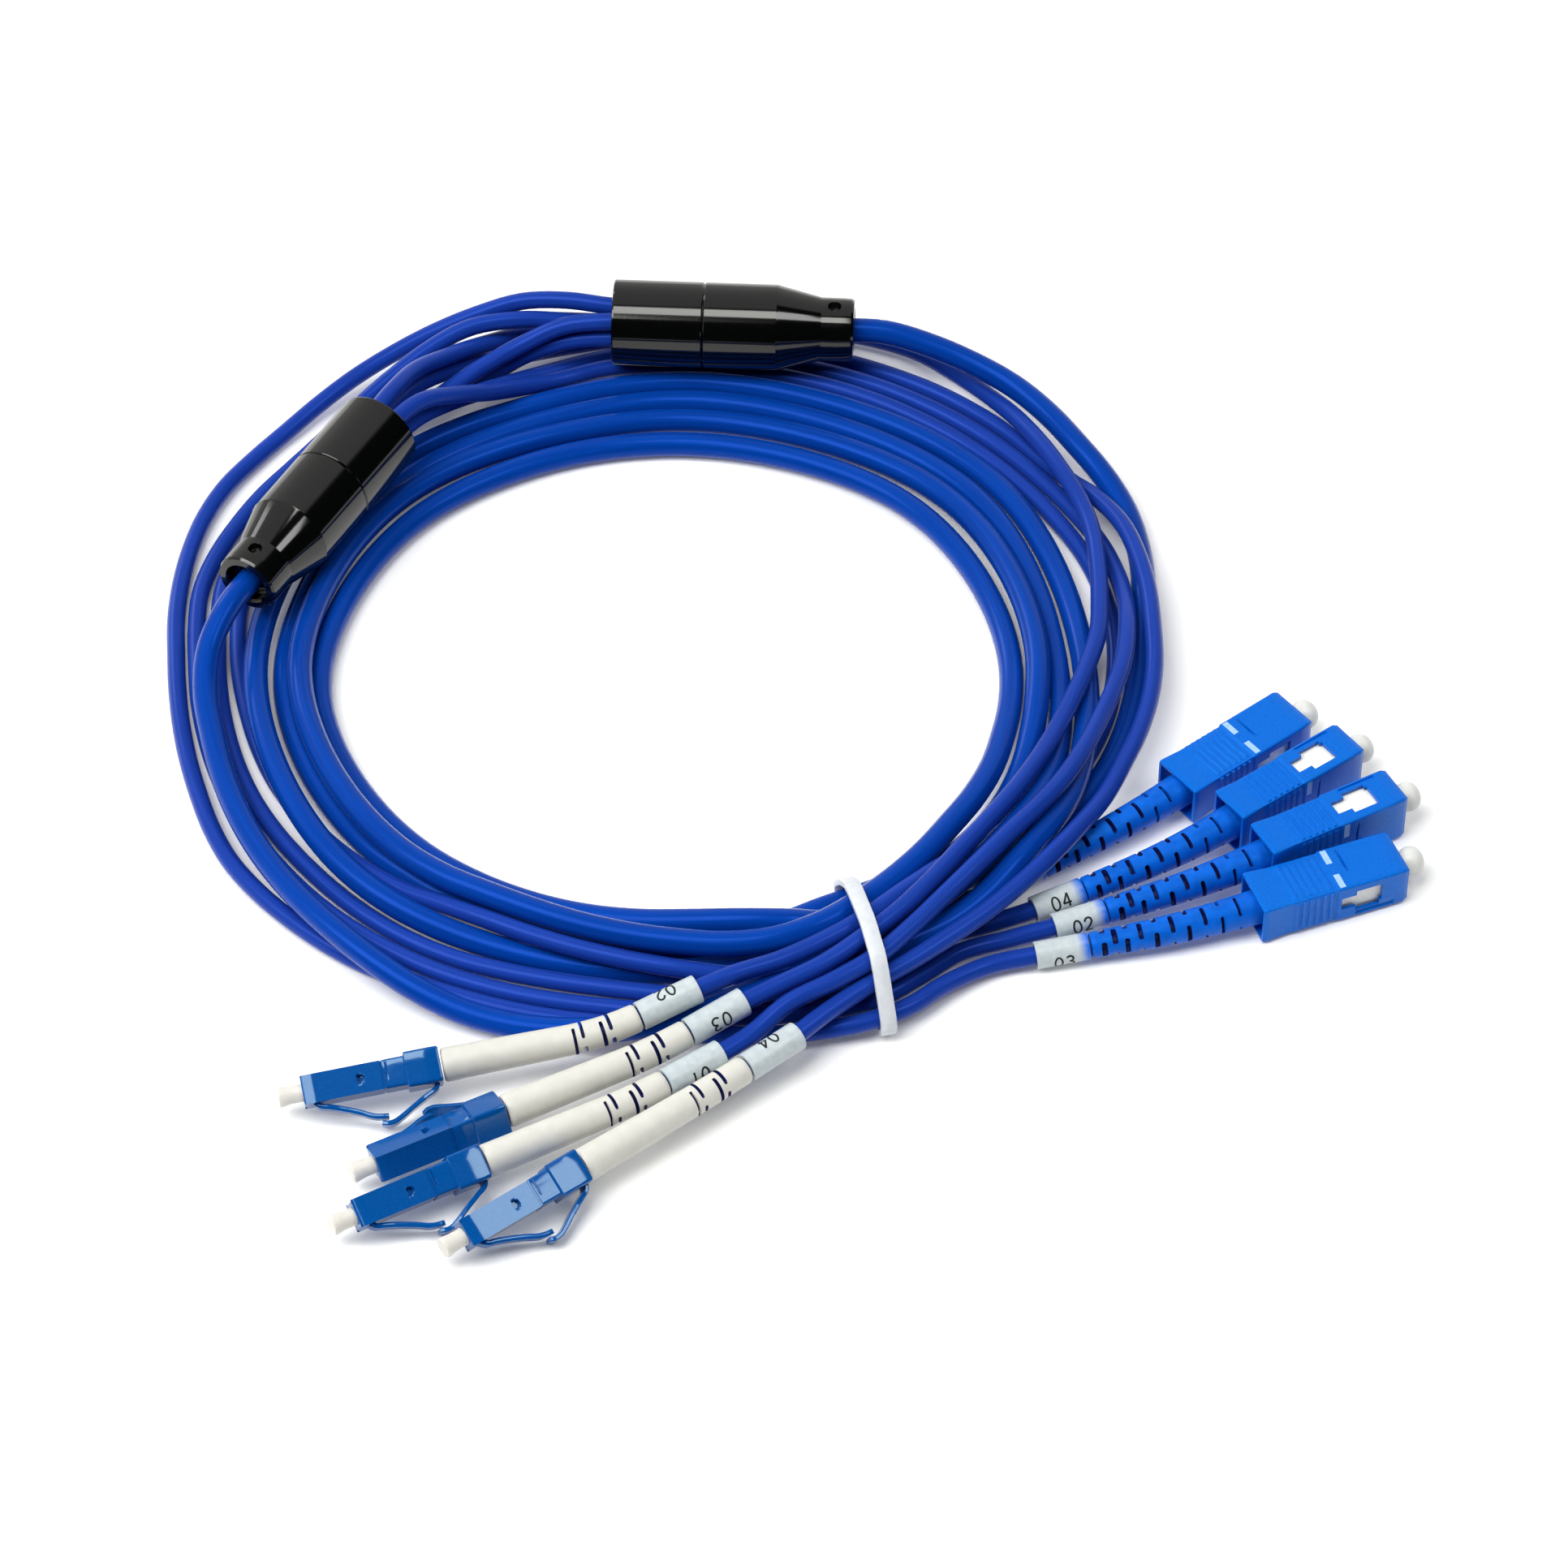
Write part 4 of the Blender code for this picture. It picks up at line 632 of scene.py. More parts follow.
# Extruded PVC jacket, satin: the die leaves faint lines along it, here 0.8 mm apart so that they show,
# and the colour drifts a little over some centimetres. Its gloss is in one long soft highlight.
trunk_jacket = finish("extruded_pvc_jacket", "#033A98", Roughness=0.25, IOR=1.5, Specular_IOR_Level=0.42,
                      Specular_Tint=linear("#4478FF"))
grained(trunk_jacket, ("#03358E", "#043FA2"), 1.2, 0.00001, "UV", (0.03, 1.0, 1.0))
tail_jacket = finish("extruded_pvc_tail_jacket", "#163897", Roughness=0.28, IOR=1.5, Specular_IOR_Level=0.42,
                     Specular_Tint=linear("#6084FF"))
grained(tail_jacket, ("#14348E", "#193DA0"), 1.5, 0.00001, "UV", (0.03, 1.0, 1.0))

CABLE_STEP = 1.6
settled = all_routes()
for cable, route in settled.items():
    is_trunk = cable == "trunk_cable"
    diameter = TRUNK_DIAMETER if is_trunk else LEG_DIAMETER
    path = through_points(route, CABLE_STEP)
    jacket = trunk_jacket if is_trunk else tail_jacket
    tube = piece(f"{cable}_jacket", [patch(capped(carried(path, ring(diameter / 2))))], [jacket],
                 instead_of=[cable])


# Breakout housings: a sleeve and a coned barrel, turned from aluminium bar, screwed together and
# anodised black. The tails leave the bore of the sleeve and the trunk the hollow neck, which a small
# set screw in its side clamps. A fine line shows where the two pieces meet.


def put(grid, place):
    """A grid in a frame's own millimetres, moved to where that frame stands."""
    place = np.array(place)
    return grid @ place[:3, :3].T + place[:3, 3]


def turned(profile, columns=97):
    """A profile of points (along X, radius) turned about X, its last column on its first."""
    profile = np.asarray(profile, float)
    angles = np.linspace(0.0, 2 * math.pi, columns)
    along = np.broadcast_to(profile[:, :1], (len(profile), columns))
    return np.stack([along, profile[:, 1:] * np.cos(angles), profile[:, 1:] * np.sin(angles)], axis=-1)


def step_up(value, low, high):
    """From 0 to 1 as the value goes from low to high, with level ends."""
    t = np.clip((value - low) / (high - low), 0.0, 1.0)
    return t * t * (3 - 2 * t)


# Black anodised aluminium: a hard dark oxide, as glossy as the turned metal under it. The tool's
# rings are 0.25 mm apart and only blur the reflections along the piece.
anodised = finish("black_anodised_turned_aluminium", "#050606", Roughness=0.1, IOR=1.52)
grained(anodised, ("#040505", "#060707"), 4.0, 0.000002, "UV", (1.0, 0.01, 1.0), 1.0)
socket_steel = finish("blackened_steel_screw", "#3A3A3D", Roughness=0.35, Metallic=1.0)
grained(socket_steel, ("#343437", "#444448"), 3000.0, 0.00001)

wide, narrow = HOUSING_DIAMETER / 2, HOUSING_NECK_DIAMETER / 2
joint = HOUSING_SLEEVE_LENGTH
neck_start = HOUSING_LENGTH - HOUSING_NECK_LENGTH
cone_start = neck_start - HOUSING_CONE_LENGTH
HOLE_FROM_END = 3.4
SCREW_BASE = 3.4
hole_at = HOUSING_LENGTH - HOLE_FROM_END
sleeve_profile = (
    (joint + 0.12, 0.0), (joint + 0.12, wide - 0.25), (joint, wide - 0.08), (joint - 0.1, wide),
    (joint / 2, wide), (0.3, wide), (0.1, wide - 0.08), (0.0, wide - 0.3), (0.0, 6.0),
    (0.25, HOUSING_BORE_DIAMETER / 2), (HOUSING_BORE_DEPTH, HOUSING_BORE_DIAMETER / 2),
    (HOUSING_BORE_DEPTH, 0.0),
)
neck_rows = [(along, narrow) for along in np.linspace(hole_at - 1.4, hole_at + 1.4, 41)]
barrel_profile = (
    (HOUSING_LENGTH - 4.4, 0.0), (HOUSING_LENGTH - 4.4, 2.4), (HOUSING_LENGTH - 2.2, 2.5),
    (HOUSING_LENGTH - 2.0, 3.5), (HOUSING_LENGTH - 0.5, 3.6), (HOUSING_LENGTH, 3.9),
    (HOUSING_LENGTH - 0.1, narrow - 0.35), (HOUSING_LENGTH - 0.5, narrow - 0.08),
    *neck_rows[::-1], (neck_start + 0.2, narrow), (neck_start - 0.2, narrow + 0.1),
    (cone_start + 0.15, wide - 0.1), (cone_start - 0.1, wide), (joint + 0.45, wide),
    (joint + 0.32, wide - 0.08), (joint + 0.2, wide - 0.25), (joint + 0.2, 0.0),
)
for letter, place in (("a", HOUSING_A), ("b", HOUSING_B)):
    stand = housing_frame(place)
    piece(f"housing_{letter}_turned_sleeve", [patch(put(turned(sleeve_profile), stand))], [anodised],
          instead_of=[f"housing_{letter}_sleeve"], crease=8.0)
    barrel = turned(barrel_profile, 241)
    radius = np.hypot(barrel[..., 1], barrel[..., 2])
    angle = np.arctan2(barrel[..., 2], barrel[..., 1])
    from_hole = np.hypot(barrel[..., 0] - hole_at, (angle - math.pi / 2) * narrow)
    sunk = 1.1 * step_up(-from_hole, -1.15, -1.0) * (np.abs(radius - narrow) < 0.01)
    barrel[..., 1:] *= (1 - sunk / np.maximum(radius, 1.0))[..., None]
    piece(f"housing_{letter}_turned_barrel", [patch(put(barrel, stand))], [anodised],
          instead_of=[f"housing_{letter}_cone"], crease=8.0)
    # The set screw: a plain stud with a hexagon socket, sunk in the neck
    stud = turned(((0.0, 0.0), (0.0, 0.8), (0.75, 0.8), (0.85, 0.72), (0.85, 0.42), (0.35, 0.42),
                   (0.3, 0.0)), 49)
    flat = np.radians(np.mod(np.linspace(0.0, 360.0, 49), 60.0) - 30.0)
    stud[4:6, :, 1:] *= (math.cos(math.radians(30)) / np.cos(flat))[None, :, None]
    outward_turn = Matrix.Rotation(math.radians(-90), 4, "Y")
    upright = stand @ Matrix.Translation(Vector((hole_at, 0.0, SCREW_BASE))) @ outward_turn
    piece(f"housing_{letter}_socket_screw", [patch(put(stud, upright))], [socket_steel],
          instead_of=[f"housing_{letter}_screw"])


# The tie: a flat band of natural nylon pulled tight round the bundle at the front of the coil. It is
# moulded, so its edges are rounded and its face is satin. Its head is tucked out of sight below.

TIE_THICKNESS = 1.1
TIE_WIDTH = 2.5
TIE_SIDES = 36
STRAND_STEP = 0.4
STRAND_MARGIN = 0.6
BUNDLE_REACH = 30

tie_nylon = finish("moulded_natural_nylon", "#D0D4DC", Roughness=0.42, IOR=1.53, Subsurface_Weight=0.15,
                   Subsurface_Radius=(1.0, 1.0, 1.0), Subsurface_Scale=0.001)
grained(tie_nylon, ("#CBD0D9", "#D6DAE1"), 900.0, 0.00002)

run = heading_vector(TIE_HEADING)
across = np.array([run[1], -run[0], 0.0])
tie_middle = np.array([*TIE_CENTRE, 0.0])
spots, sizes = [], []
for cable, route in settled.items():
    strand = evenly(route, STRAND_STEP) - tie_middle
    inside = np.abs(strand @ run) < TIE_WIDTH / 2 + STRAND_MARGIN
    inside &= np.linalg.norm(strand, axis=1) < BUNDLE_REACH
    spots.append(strand[inside])
    sizes.append(np.full(inside.sum(), (TRUNK_DIAMETER if cable == "trunk_cable" else LEG_DIAMETER) / 2))
spots, sizes = np.concatenate(spots), np.concatenate(sizes)
sides = np.radians(np.arange(TIE_SIDES + 1) * 360.0 / TIE_SIDES)
normals = np.stack([np.cos(sides), np.sin(sides)], axis=1)
span = (np.stack([spots @ across, spots[:, 2]], axis=1) @ normals.T + sizes[:, None]).max(axis=0) + FIT_GAP
span[-1] = span[0]


def outline(reach):
    """The corners where each side of the band meets the next, closed on its first corner."""
    pairs = np.stack([normals[:-1], normals[1:]], axis=1)
    corners = np.linalg.solve(pairs, np.stack([reach[:-1], reach[1:]], axis=1)[..., None])[..., 0]
    return np.concatenate([corners, corners[:1]])


# The band's section, as (part of its thickness, part of its width), round its four rounded corners
edge = np.array([(0.0, -0.4), (0.12, -0.5), (0.88, -0.5), (1.0, -0.4), (1.0, 0.4), (0.88, 0.5), (0.12, 0.5),
                 (0.0, 0.4), (0.0, -0.4)])
inner, outer = outline(span), outline(span + TIE_THICKNESS)
flat = inner[:, None] + edge[None, :, :1] * (outer - inner)[:, None]
band = tie_middle + flat[..., :1] * across + flat[..., 1:] * np.array([0.0, 0.0, 1.0])
band = band + (edge[:, 1] * TIE_WIDTH)[None, :, None] * run
piece("nylon_tie_band", [patch(band)], [tie_nylon], instead_of=["cable_tie"], crease=40.0)


# The square push-pull plugs: a blue PBT shell, moulded in one, slides on a white inner body. It has a
# stepped window in each narrow side, six grip ribs round its waist, two white bars that show the plug
# is fully home, and a moulded key mark on its top.


def rounded_box_ring(wide, high, corner, y_lines, z_lines):
    """A rectangle's outline with rounded corners, as (y, z), and the outward way at each point.

    It starts on the +Y side and goes by +Z, -Y and -Z. Each side has a point at each of its lines.
    """
    y, z, bend = wide / 2, high / 2, np.radians((22.5, 45.0, 67.5))
    y_flat = np.unique([-y + corner, *y_lines, y - corner])
    z_flat = np.unique([-z + corner, *z_lines, z - corner])
    points, ways = [], []
    corners = ((y, z_flat, z), (z, y_flat, y)) * 2
    for turn, (reach, flat, other) in enumerate(corners):
        angle = turn * math.pi / 2
        spin = np.array([[math.cos(angle), math.sin(angle)], [-math.sin(angle), math.cos(angle)]])
        straight = np.stack([np.full(len(flat), reach), flat], axis=1)
        arc = np.stack([np.cos(bend), np.sin(bend)], axis=1)
        rounded = np.array([reach - corner, other - corner]) + corner * arc
        points.append(np.concatenate([straight, rounded]) @ spin)
        ways.append(np.concatenate([np.tile([1.0, 0.0], (len(flat), 1)), arc]) @ spin)
    points, ways = np.concatenate(points), np.concatenate(ways)
    return np.concatenate([points, points[:1]]), np.concatenate([ways, ways[:1]])


def hollow(outer, inner, keep):
    """Patches of a wall between two grids of one layout. Where keep leaves a cell out there is a hole,
    and every edge of what is kept is closed by a strip from the outer grid to the inner one."""
    rows, columns = outer.shape[:2]
    corner = np.arange(rows * columns).reshape(rows, columns)
    points = np.concatenate([outer.reshape(-1, 3), inner.reshape(-1, 3)])
    shift = rows * columns
    framed = np.pad(keep, ((1, 1), (0, 0)))
    row_edge = framed[1:] != framed[:-1]
    looped = np.concatenate([keep[:, -1:], keep, keep[:, :1]], axis=1)
    column_edge = looped[:, 1:] != looped[:, :-1]
    column_edge[:, -1] = False
    a, b = corner[:, :-1][row_edge], corner[:, 1:][row_edge]
    c, d = corner[:-1][column_edge], corner[1:][column_edge]
    strips = np.concatenate([np.stack([a, b, b + shift, a + shift], axis=1),
                             np.stack([c, d, d + shift, c + shift], axis=1)])
    return points, np.zeros((len(points), 2)), strips, np.zeros(len(strips), int)


# Moulded PBT: azure all through, with the fine spark-eroded texture of its mould, 0.1 mm in grain
azure_pbt = finish("moulded_azure_pbt", "#0462CA", Roughness=0.33, IOR=1.5, Specular_Tint=linear("#5AB4FF"))
grained(azure_pbt, ("#035DC4", "#0668D2"), 2500.0, 0.000003)
# White marking film in the shell's two slots, pale blue where the shell shows through it
white_bars = finish("printed_white_bar", "#9CC2F2", Roughness=0.45, IOR=1.5)
grained(white_bars, ("#8FBAF0", "#A9CBF6"), 1500.0, 0.000004)
# Moulded white PBT of the inner body
inner_white = finish("moulded_white_pbt", "#F1F1EC", Roughness=0.45, IOR=1.55)
grained(inner_white, ("#EDEDE8", "#F6F6F2"), 2000.0, 0.00001)

WALL = 0.6
rib_centres = -13.35 - 1.18 * np.arange(6)
rows = np.concatenate([
    (0.0, -0.12, -0.35, -0.8, -2.4, -2.6, -4.6, -5.0, -6.4, -6.55, -8.9, -9.1, -9.25, -9.4, -9.55),
    (-10.2, -10.9, -11.6, -11.9, -12.15, -12.45, -20.9, -22.6, -24.0, -24.7, -24.9, -25.0),
    (rib_centres[:, None] + (-0.42, -0.3, -0.22, 0.22, 0.3, 0.42)).reshape(-1),
])
rows = np.unique(-np.round(rows, 4))
outline_points, outward = rounded_box_ring(
    9.0, 7.4, 0.4, (-4.1, -3.7, -3.5, -1.2, -0.75, -0.7, -0.45, -0.4, 1.2, 1.25, 3.5, 3.7, 4.1),
    (-3.2, -3.1, -2.6, -2.5, -2.2, -1.6, -1.3, 1.3, 2.2, 2.9, 3.1),
)
along = -rows[:, None]
y, z = outline_points[:, 0], outline_points[:, 1]
on_side, on_top = np.abs(outward[:, 0]) > 0.99, np.abs(outward[:, 1]) > 0.99
waist = 0.24 * step_up(-along, 12.15, 12.45) * (1 - step_up(-along, 20.9, 24.0))
rib = (1 - step_up(np.abs(along[..., None] - rib_centres), 0.22, 0.42)).max(axis=-1)
rib = rib * (np.abs(z) < 3.15) * on_side + 0.6 * rib * (np.abs(y) < 3.6) * on_top
groove = 0.3 * step_up(-along, 2.4, 2.6) * (1 - step_up(-along, 8.9, 9.1))
groove = groove * on_side * (np.abs(z + 2.85) < 0.3)
long_leg = (np.abs(y + 0.575) < 0.14) * step_up(-along, 6.4, 6.55) * (1 - step_up(-along, 9.4, 9.55))
short_leg = (np.abs(y - 0.25) < 0.97) * step_up(-along, 9.1, 9.25) * (1 - step_up(-along, 9.4, 9.55))
key_mark = 0.55 * np.maximum(long_leg, short_leg) * (outward[:, 1] > 0.99)
front_edge = 0.35 * (1 - step_up(-along, 0.0, 0.8)) + 0.15 * step_up(-along, 24.7, 25.0)
depth = waist * (1 - rib) + groove + key_mark + front_edge
shell_outer = np.empty((len(rows), len(y), 3))
shell_outer[..., 0] = along
shell_outer[..., 1:] = outline_points - depth[..., None] * outward
shell_inner = np.empty_like(shell_outer)
shell_inner[..., 0] = along
shell_inner[..., 1] = np.clip(y, -4.5 + WALL, 4.5 - WALL)
shell_inner[..., 2] = np.clip(z, -3.7 + WALL, 3.7 - WALL)
cell_x = (along[:-1] + along[1:]) / 2
cell_y, cell_z = (y[:-1] + y[1:]) / 2, (z[:-1] + z[1:]) / 2
side_cell = on_side[:-1] & on_side[1:] & (np.sign(y[:-1]) == np.sign(y[1:]))
top_cell = (outward[:-1, 1] > 0.99) & (outward[1:, 1] > 0.99)
front_part = (cell_x > -9.1) & (cell_x < -4.6) & (np.abs(cell_z) < 2.2)
front_part &= ~((cell_x > -5.0) & (cell_z < -1.6))
back_part = (cell_x > -11.6) & (cell_x < -9.1) & (np.abs(cell_z) < 1.3)
window = side_cell & (front_part | back_part)
bars = top_cell & (cell_x > -11.9) & (cell_x < -10.9) & (np.abs(cell_y) > 1.2) & (np.abs(cell_y) < 4.1)

# Its boot: azure rubber, slit by ten rings of three slots that turn a sixth from ring to ring, so that
# it bends evenly. The slots are narrow by the shell and wider towards the cable.


def slit(turns, steps, slots, widths, deep):
    """How deep a boot's skin is cut at each angle and step along it. A slot is (step, middle angle,
    half its span in degrees), with a rounded end, and its width comes from widths at its step."""
    found = np.zeros((len(steps), len(turns)))
    for at, middle, half in slots:
        half_wide = np.interp(at, *widths) / 2
        off = np.abs(np.mod(turns - middle + 180.0, 360.0) - 180.0)
        taper = np.sqrt(np.clip(1.0 - np.clip((off - half + 8.0) / 8.0, 0.0, 1.0) ** 2, 0.0, 1.0))
        inward = (half_wide * taper)[None] - np.abs(steps - at)[:, None]
        found = np.maximum(found, step_up(inward, -0.03, 0.03) * (taper > 0))
    return deep * found


def slit_rows(length, slots, widths):
    """Steps along a boot: even ones, and close ones across each ring of slots."""
    near = np.array([-1.15, -1.0, -0.85, -0.6, -0.3, 0.0, 0.3, 0.6, 0.85, 1.0, 1.15])
    cuts = [at + near * np.interp(at, *widths) / 2 for at in {slot[0] for slot in slots}]
    plain = np.arange(1.0, length, 1.0)
    cuts = np.concatenate(cuts)
    plain = plain[np.abs(plain[:, None] - cuts).min(axis=1) > 0.25]
    rims = (0.0, 0.12, 0.4, length - 0.4, length - 0.12, length)
    return np.unique(np.round(np.concatenate([rims, plain, cuts]), 4))


def boot_patch(place, boot_front, length, radii, slots, widths, deep, columns=121):
    """A boot's surface: rings along its bent way, drawn in at both ends and cut by its slots, whose
    walls and bottoms get its second material, a painted shade: the tail's blue jacket as dark as in shadow."""
    steps = slit_rows(length, slots, widths)
    turns = np.linspace(0.0, 360.0, columns)
    radius = np.interp(steps, (0.0, length), radii)
    radius = radius - 0.25 * (1 - step_up(np.minimum(steps, length - steps), 0.0, 0.4)) ** 2
    depth = slit(turns, steps, slots, widths, deep)
    angles = np.radians(turns)
    section = (radius[:, None] - depth)[..., None] * np.stack([np.cos(angles), np.sin(angles)], axis=-1)
    grid = capped(carried(behind(place, boot_front, steps)[::-1], section[::-1]))
    # Painted shade: every cell that touches the deep part of a slot gets the dark second material
    cut = np.pad(depth[::-1], ((1, 1), (0, 0))) > 0.5 * deep
    return patch(grid, tint=(cut[:-1, :-1] | cut[1:, 1:] | cut[1:, :-1] | cut[:-1, 1:]).astype(int))


SC_RING_STEPS = (5.3, 8.2, 10.9, 13.6, 16.1, 18.7, 21.1, 23.3, 25.2, 27.0)
sc_slots = [(at, 107.0 + 60.0 * (number % 2) + 120.0 * third, 36.0)
            for number, at in enumerate(SC_RING_STEPS) for third in range(3)]
SC_SLOT_WIDTHS = ((5.0, 27.0), (0.48, 0.8))

# Moulded thermoplastic rubber: matte, azure, with a fine eggshell texture
azure_boot = finish("moulded_azure_rubber", "#055ACA", Roughness=0.45, IOR=1.5,
                    Specular_Tint=linear("#5AB4FF"))
grained(azure_boot, ("#0453BE", "#0862D6"), 600.0, 0.00001)

# Painted shade in the boots' slots: the tail jacket's blue, darkened as it looks in shadow, laid on the slot
# walls and bottoms
painted_slot_shade = finish("painted_shade_in_boot_slots", "#07135A", Roughness=0.6, IOR=1.4)
grained(painted_slot_shade, ("#061050", "#081664"), 600.0, 0.00001)

# Its number sleeve: a short tube of grey film, shrunk over the end of the tail, so the blue of the boot
# shows through its last millimetre. The plain number is printed on it in black ink.
label_grey = finish("shrunk_grey_film", "#B9C4CB", Roughness=0.34, IOR=1.5)
grained(label_grey, ("#B3BFC7", "#C3CCD1"), 0.9, 0.00001, "UV")
see_through = finish("shrunk_grey_film_over_blue", "#B9C4CB", Roughness=0.34, IOR=1.5)
cloud = grained(see_through, ("#B3BFC7", "#C3CCD1"), 0.9, 0.00001, "UV")
unrolled = add(see_through, "ShaderNodeSeparateXYZ", {0: cloud.inputs["Vector"].links[0].from_socket})
ragged = add(see_through, "ShaderNodeMath", {0: cloud.outputs["Fac"], 1: 1.1}, operation="MULTIPLY")
moved = add(see_through, "ShaderNodeMath", {0: unrolled.outputs["X"], 1: ragged.outputs["Value"]},
            operation="SUBTRACT")
fade = add(see_through, "ShaderNodeMapRange",
           {"Value": moved.outputs["Value"], "From Min": 0.2, "From Max": 1.7})
film_colour = see_through.node_tree.nodes["Principled BSDF"].inputs["Base Color"]
grey = film_colour.links[0].from_socket
tinted = add(see_through, "ShaderNodeMix", {0: fade.outputs["Result"], 6: linear("#1668D8"), 7: grey},
             data_type="RGBA")
see_through.node_tree.links.new(tinted.outputs[2], film_colour)
ink = finish("black_marking_ink", "#14171A", Roughness=0.6, IOR=1.4)
grained(ink, ("#101316", "#1B1F23"), 2500.0, 0.000004)


def sleeve_grid(length, radius):
    """A thin tube from 0 back along X, its rims rounded, closed on itself."""
    bore = LEG_DIAMETER / 2 + 0.25
    return turned(((0.0, bore), (0.0, radius - 0.06), (-0.06, radius), (-length / 2, radius),
                   (-length + 0.06, radius), (-length, radius - 0.06), (-length, bore), (-length / 2, bore),
                   (0.0, bore)), 65)


def figures(number):
    """The pen strokes of the figures 0 and number, each a line of (across, up), 1 unit high."""
    loop = np.linspace(0.0, 2 * math.pi, 33)
    nought = np.stack([0.26 - 0.26 * np.cos(loop), 0.5 + 0.5 * np.sin(loop)], axis=1)
    drawn = {
        1: ([(0.28, 0.0), (0.28, 1.0)],),
        2: ([(0.02, 0.76), (0.12, 0.95), (0.3, 1.0), (0.48, 0.9), (0.5, 0.7), (0.34, 0.42), (0.16, 0.2),
             (0.0, 0.0)],
            [(0.0, 0.0), (0.54, 0.0)]),
        3: ([(0.03, 0.9), (0.25, 1.0), (0.46, 0.9), (0.46, 0.66), (0.22, 0.54)],
            [(0.22, 0.54), (0.5, 0.42), (0.52, 0.14), (0.28, 0.0), (0.0, 0.1)]),
        4: ([(0.42, 0.0), (0.42, 1.0)], [(0.42, 1.0), (0.0, 0.32)], [(0.0, 0.32), (0.58, 0.32)]),
    }[number]
    return [nought, *(np.array(stroke) + (0.78, 0.0) for stroke in drawn)]


def inked(number, place, boot_front, distance, length, radius, angle, high=2.3, pen=0.36):
    """Patches of a number wrapped on a sleeve: each stroke a low ridge, its tops towards falling angle."""
    at = behind(place, boot_front, (distance,))[0]
    stand = pose(at, place[6], at[2], place[7])
    patches = []
    for stroke in figures(number):
        line = through_points(np.pad(stroke * high, ((0, 0), (0, 1))), 0.12)[:, :2]
        ridge = np.array([(-0.5, -0.05), (-0.42, 0.03), (0.42, 0.03), (0.5, -0.05), (-0.5, -0.05)])
        rail = carried(np.pad(line, ((0, 0), (0, 1))), ridge * (pen, 1.0))
        across, up, rise = (rail - (1.3 * high / 2, high / 2, 0.0)).transpose(2, 0, 1)
        turn = math.radians(angle) - up / radius
        out = radius + rise
        wrapped = np.stack([across - length / 2, out * np.cos(turn), out * np.sin(turn)], axis=-1)
        patches.append(patch(capped(put(wrapped, stand))))
    return patches


# Its dust cap: a blind knob of soft milky polythene, blown a little wider than its neck
milky = finish("moulded_milky_polythene", "#D6D7D5", Roughness=0.4, IOR=1.51, Subsurface_Weight=0.35,
               Subsurface_Radius=(1.0, 1.0, 1.0), Subsurface_Scale=0.002)
grained(milky, ("#D2D3D1", "#DADBD9"), 700.0, 0.00001)
bulb = np.radians(np.linspace(0.0, 90.0, 10))
sc_cap_profile = [
    (-4.9, 0.0), (-4.9, 2.0), (-4.7, 2.1), (-0.4, 2.1), (-0.1, 1.95), (0.5, 1.9), (1.0, 2.05), (1.5, 2.3),
    (2.0, 2.43),
    *((2.4 + 1.9 * math.sin(turn), 0.55 + 1.92 * math.cos(turn)) for turn in bulb),
    (4.3, 0.0),
]



def dressed_end(kind, place, plug, boot_name, boot_shape, rubber, rubber_slot, label_diameter,
                label_length, film, number_angles, cap_grid, plastic):
    """A connector's boot, number sleeve, number and dust cap. Boot_shape is what boot_patch asks for
    after the place, the boot's front and length first. The sleeve starts a gap behind the boot, with
    the number on it."""
    number, name = place[0], f"{kind}_{place[0]}"
    boot_front, boot_length = boot_shape[:2]
    # The boot's second material is the painted shade, dark navy, inside its slots
    boot = piece(f"{name}_{boot_name}", [boot_patch(place, *boot_shape)], [rubber, painted_slot_shade],
                 instead_of=[f"{name}_boot"], crease=40.0)
    label_start = boot_length + FIT_GAP
    at = behind(place, boot_front, (label_start,))[0]
    tube = put(sleeve_grid(label_length, label_diameter / 2), pose(at, place[6], at[2], place[7]))
    sleeve = piece(f"{name}_number_sleeve", [patch(tube)], [film], instead_of=[f"{name}_label"])
    strokes = inked(number, place, boot_front, label_start, label_length, label_diameter / 2,
                    number_angles[number])
    mark = piece(f"{name}_printed_number", strokes, [ink])
    cap = piece(f"{name}_dust_cap", [patch(put(cap_grid, connector_frame(place)))], [plastic],
                f"{name}_cap", [f"{name}_cap"])


sc_end = {
    "boot_name": "slotted_boot",
    "boot_shape": (SC_BOOT_FRONT, SC_BOOT_LENGTH, (2.85, 2.05), sc_slots, SC_SLOT_WIDTHS, 1.2),
    "rubber": azure_boot,
    "rubber_slot": "azure_rubber",
    "label_diameter": SC_LABEL_DIAMETER,
    "label_length": SC_LABEL_LENGTH,
    "film": see_through,
    "number_angles": {1: 125.0, 2: 160.0, 3: 188.0, 4: 140.0},
    "cap_grid": turned(sc_cap_profile, 65),
    "plastic": milky,
}
for place in SC_PLACES:
    number, stand = place[0], connector_frame(place)
    outer_grid, inner_grid = put(shell_outer, stand), put(shell_inner, stand)
    shell = [patch(outer_grid, ~window, bars.astype(int)), patch(inner_grid, ~window)]
    piece(f"sc_{number}_push_pull_shell", [*shell, hollow(outer_grid, inner_grid, ~window)],
          [azure_pbt, white_bars], f"sc_{number}_grip", [f"sc_{number}_grip"])
    frame["nodes"][f"sc_{number}_body"].material_slots[0].material = inner_white
    dressed_end("sc", place, (f"sc_{number}_push_pull_shell", f"sc_{number}_body"), **sc_end)


# The small latch plugs: a deep blue front body with a springy latch arm, and a rear body that clips over
# it, whose bent trigger presses the latch down. Both are moulded and have crisp, slightly worn edges.
# Each side has a small D-shaped window, and a square tab where the two bodies lock.


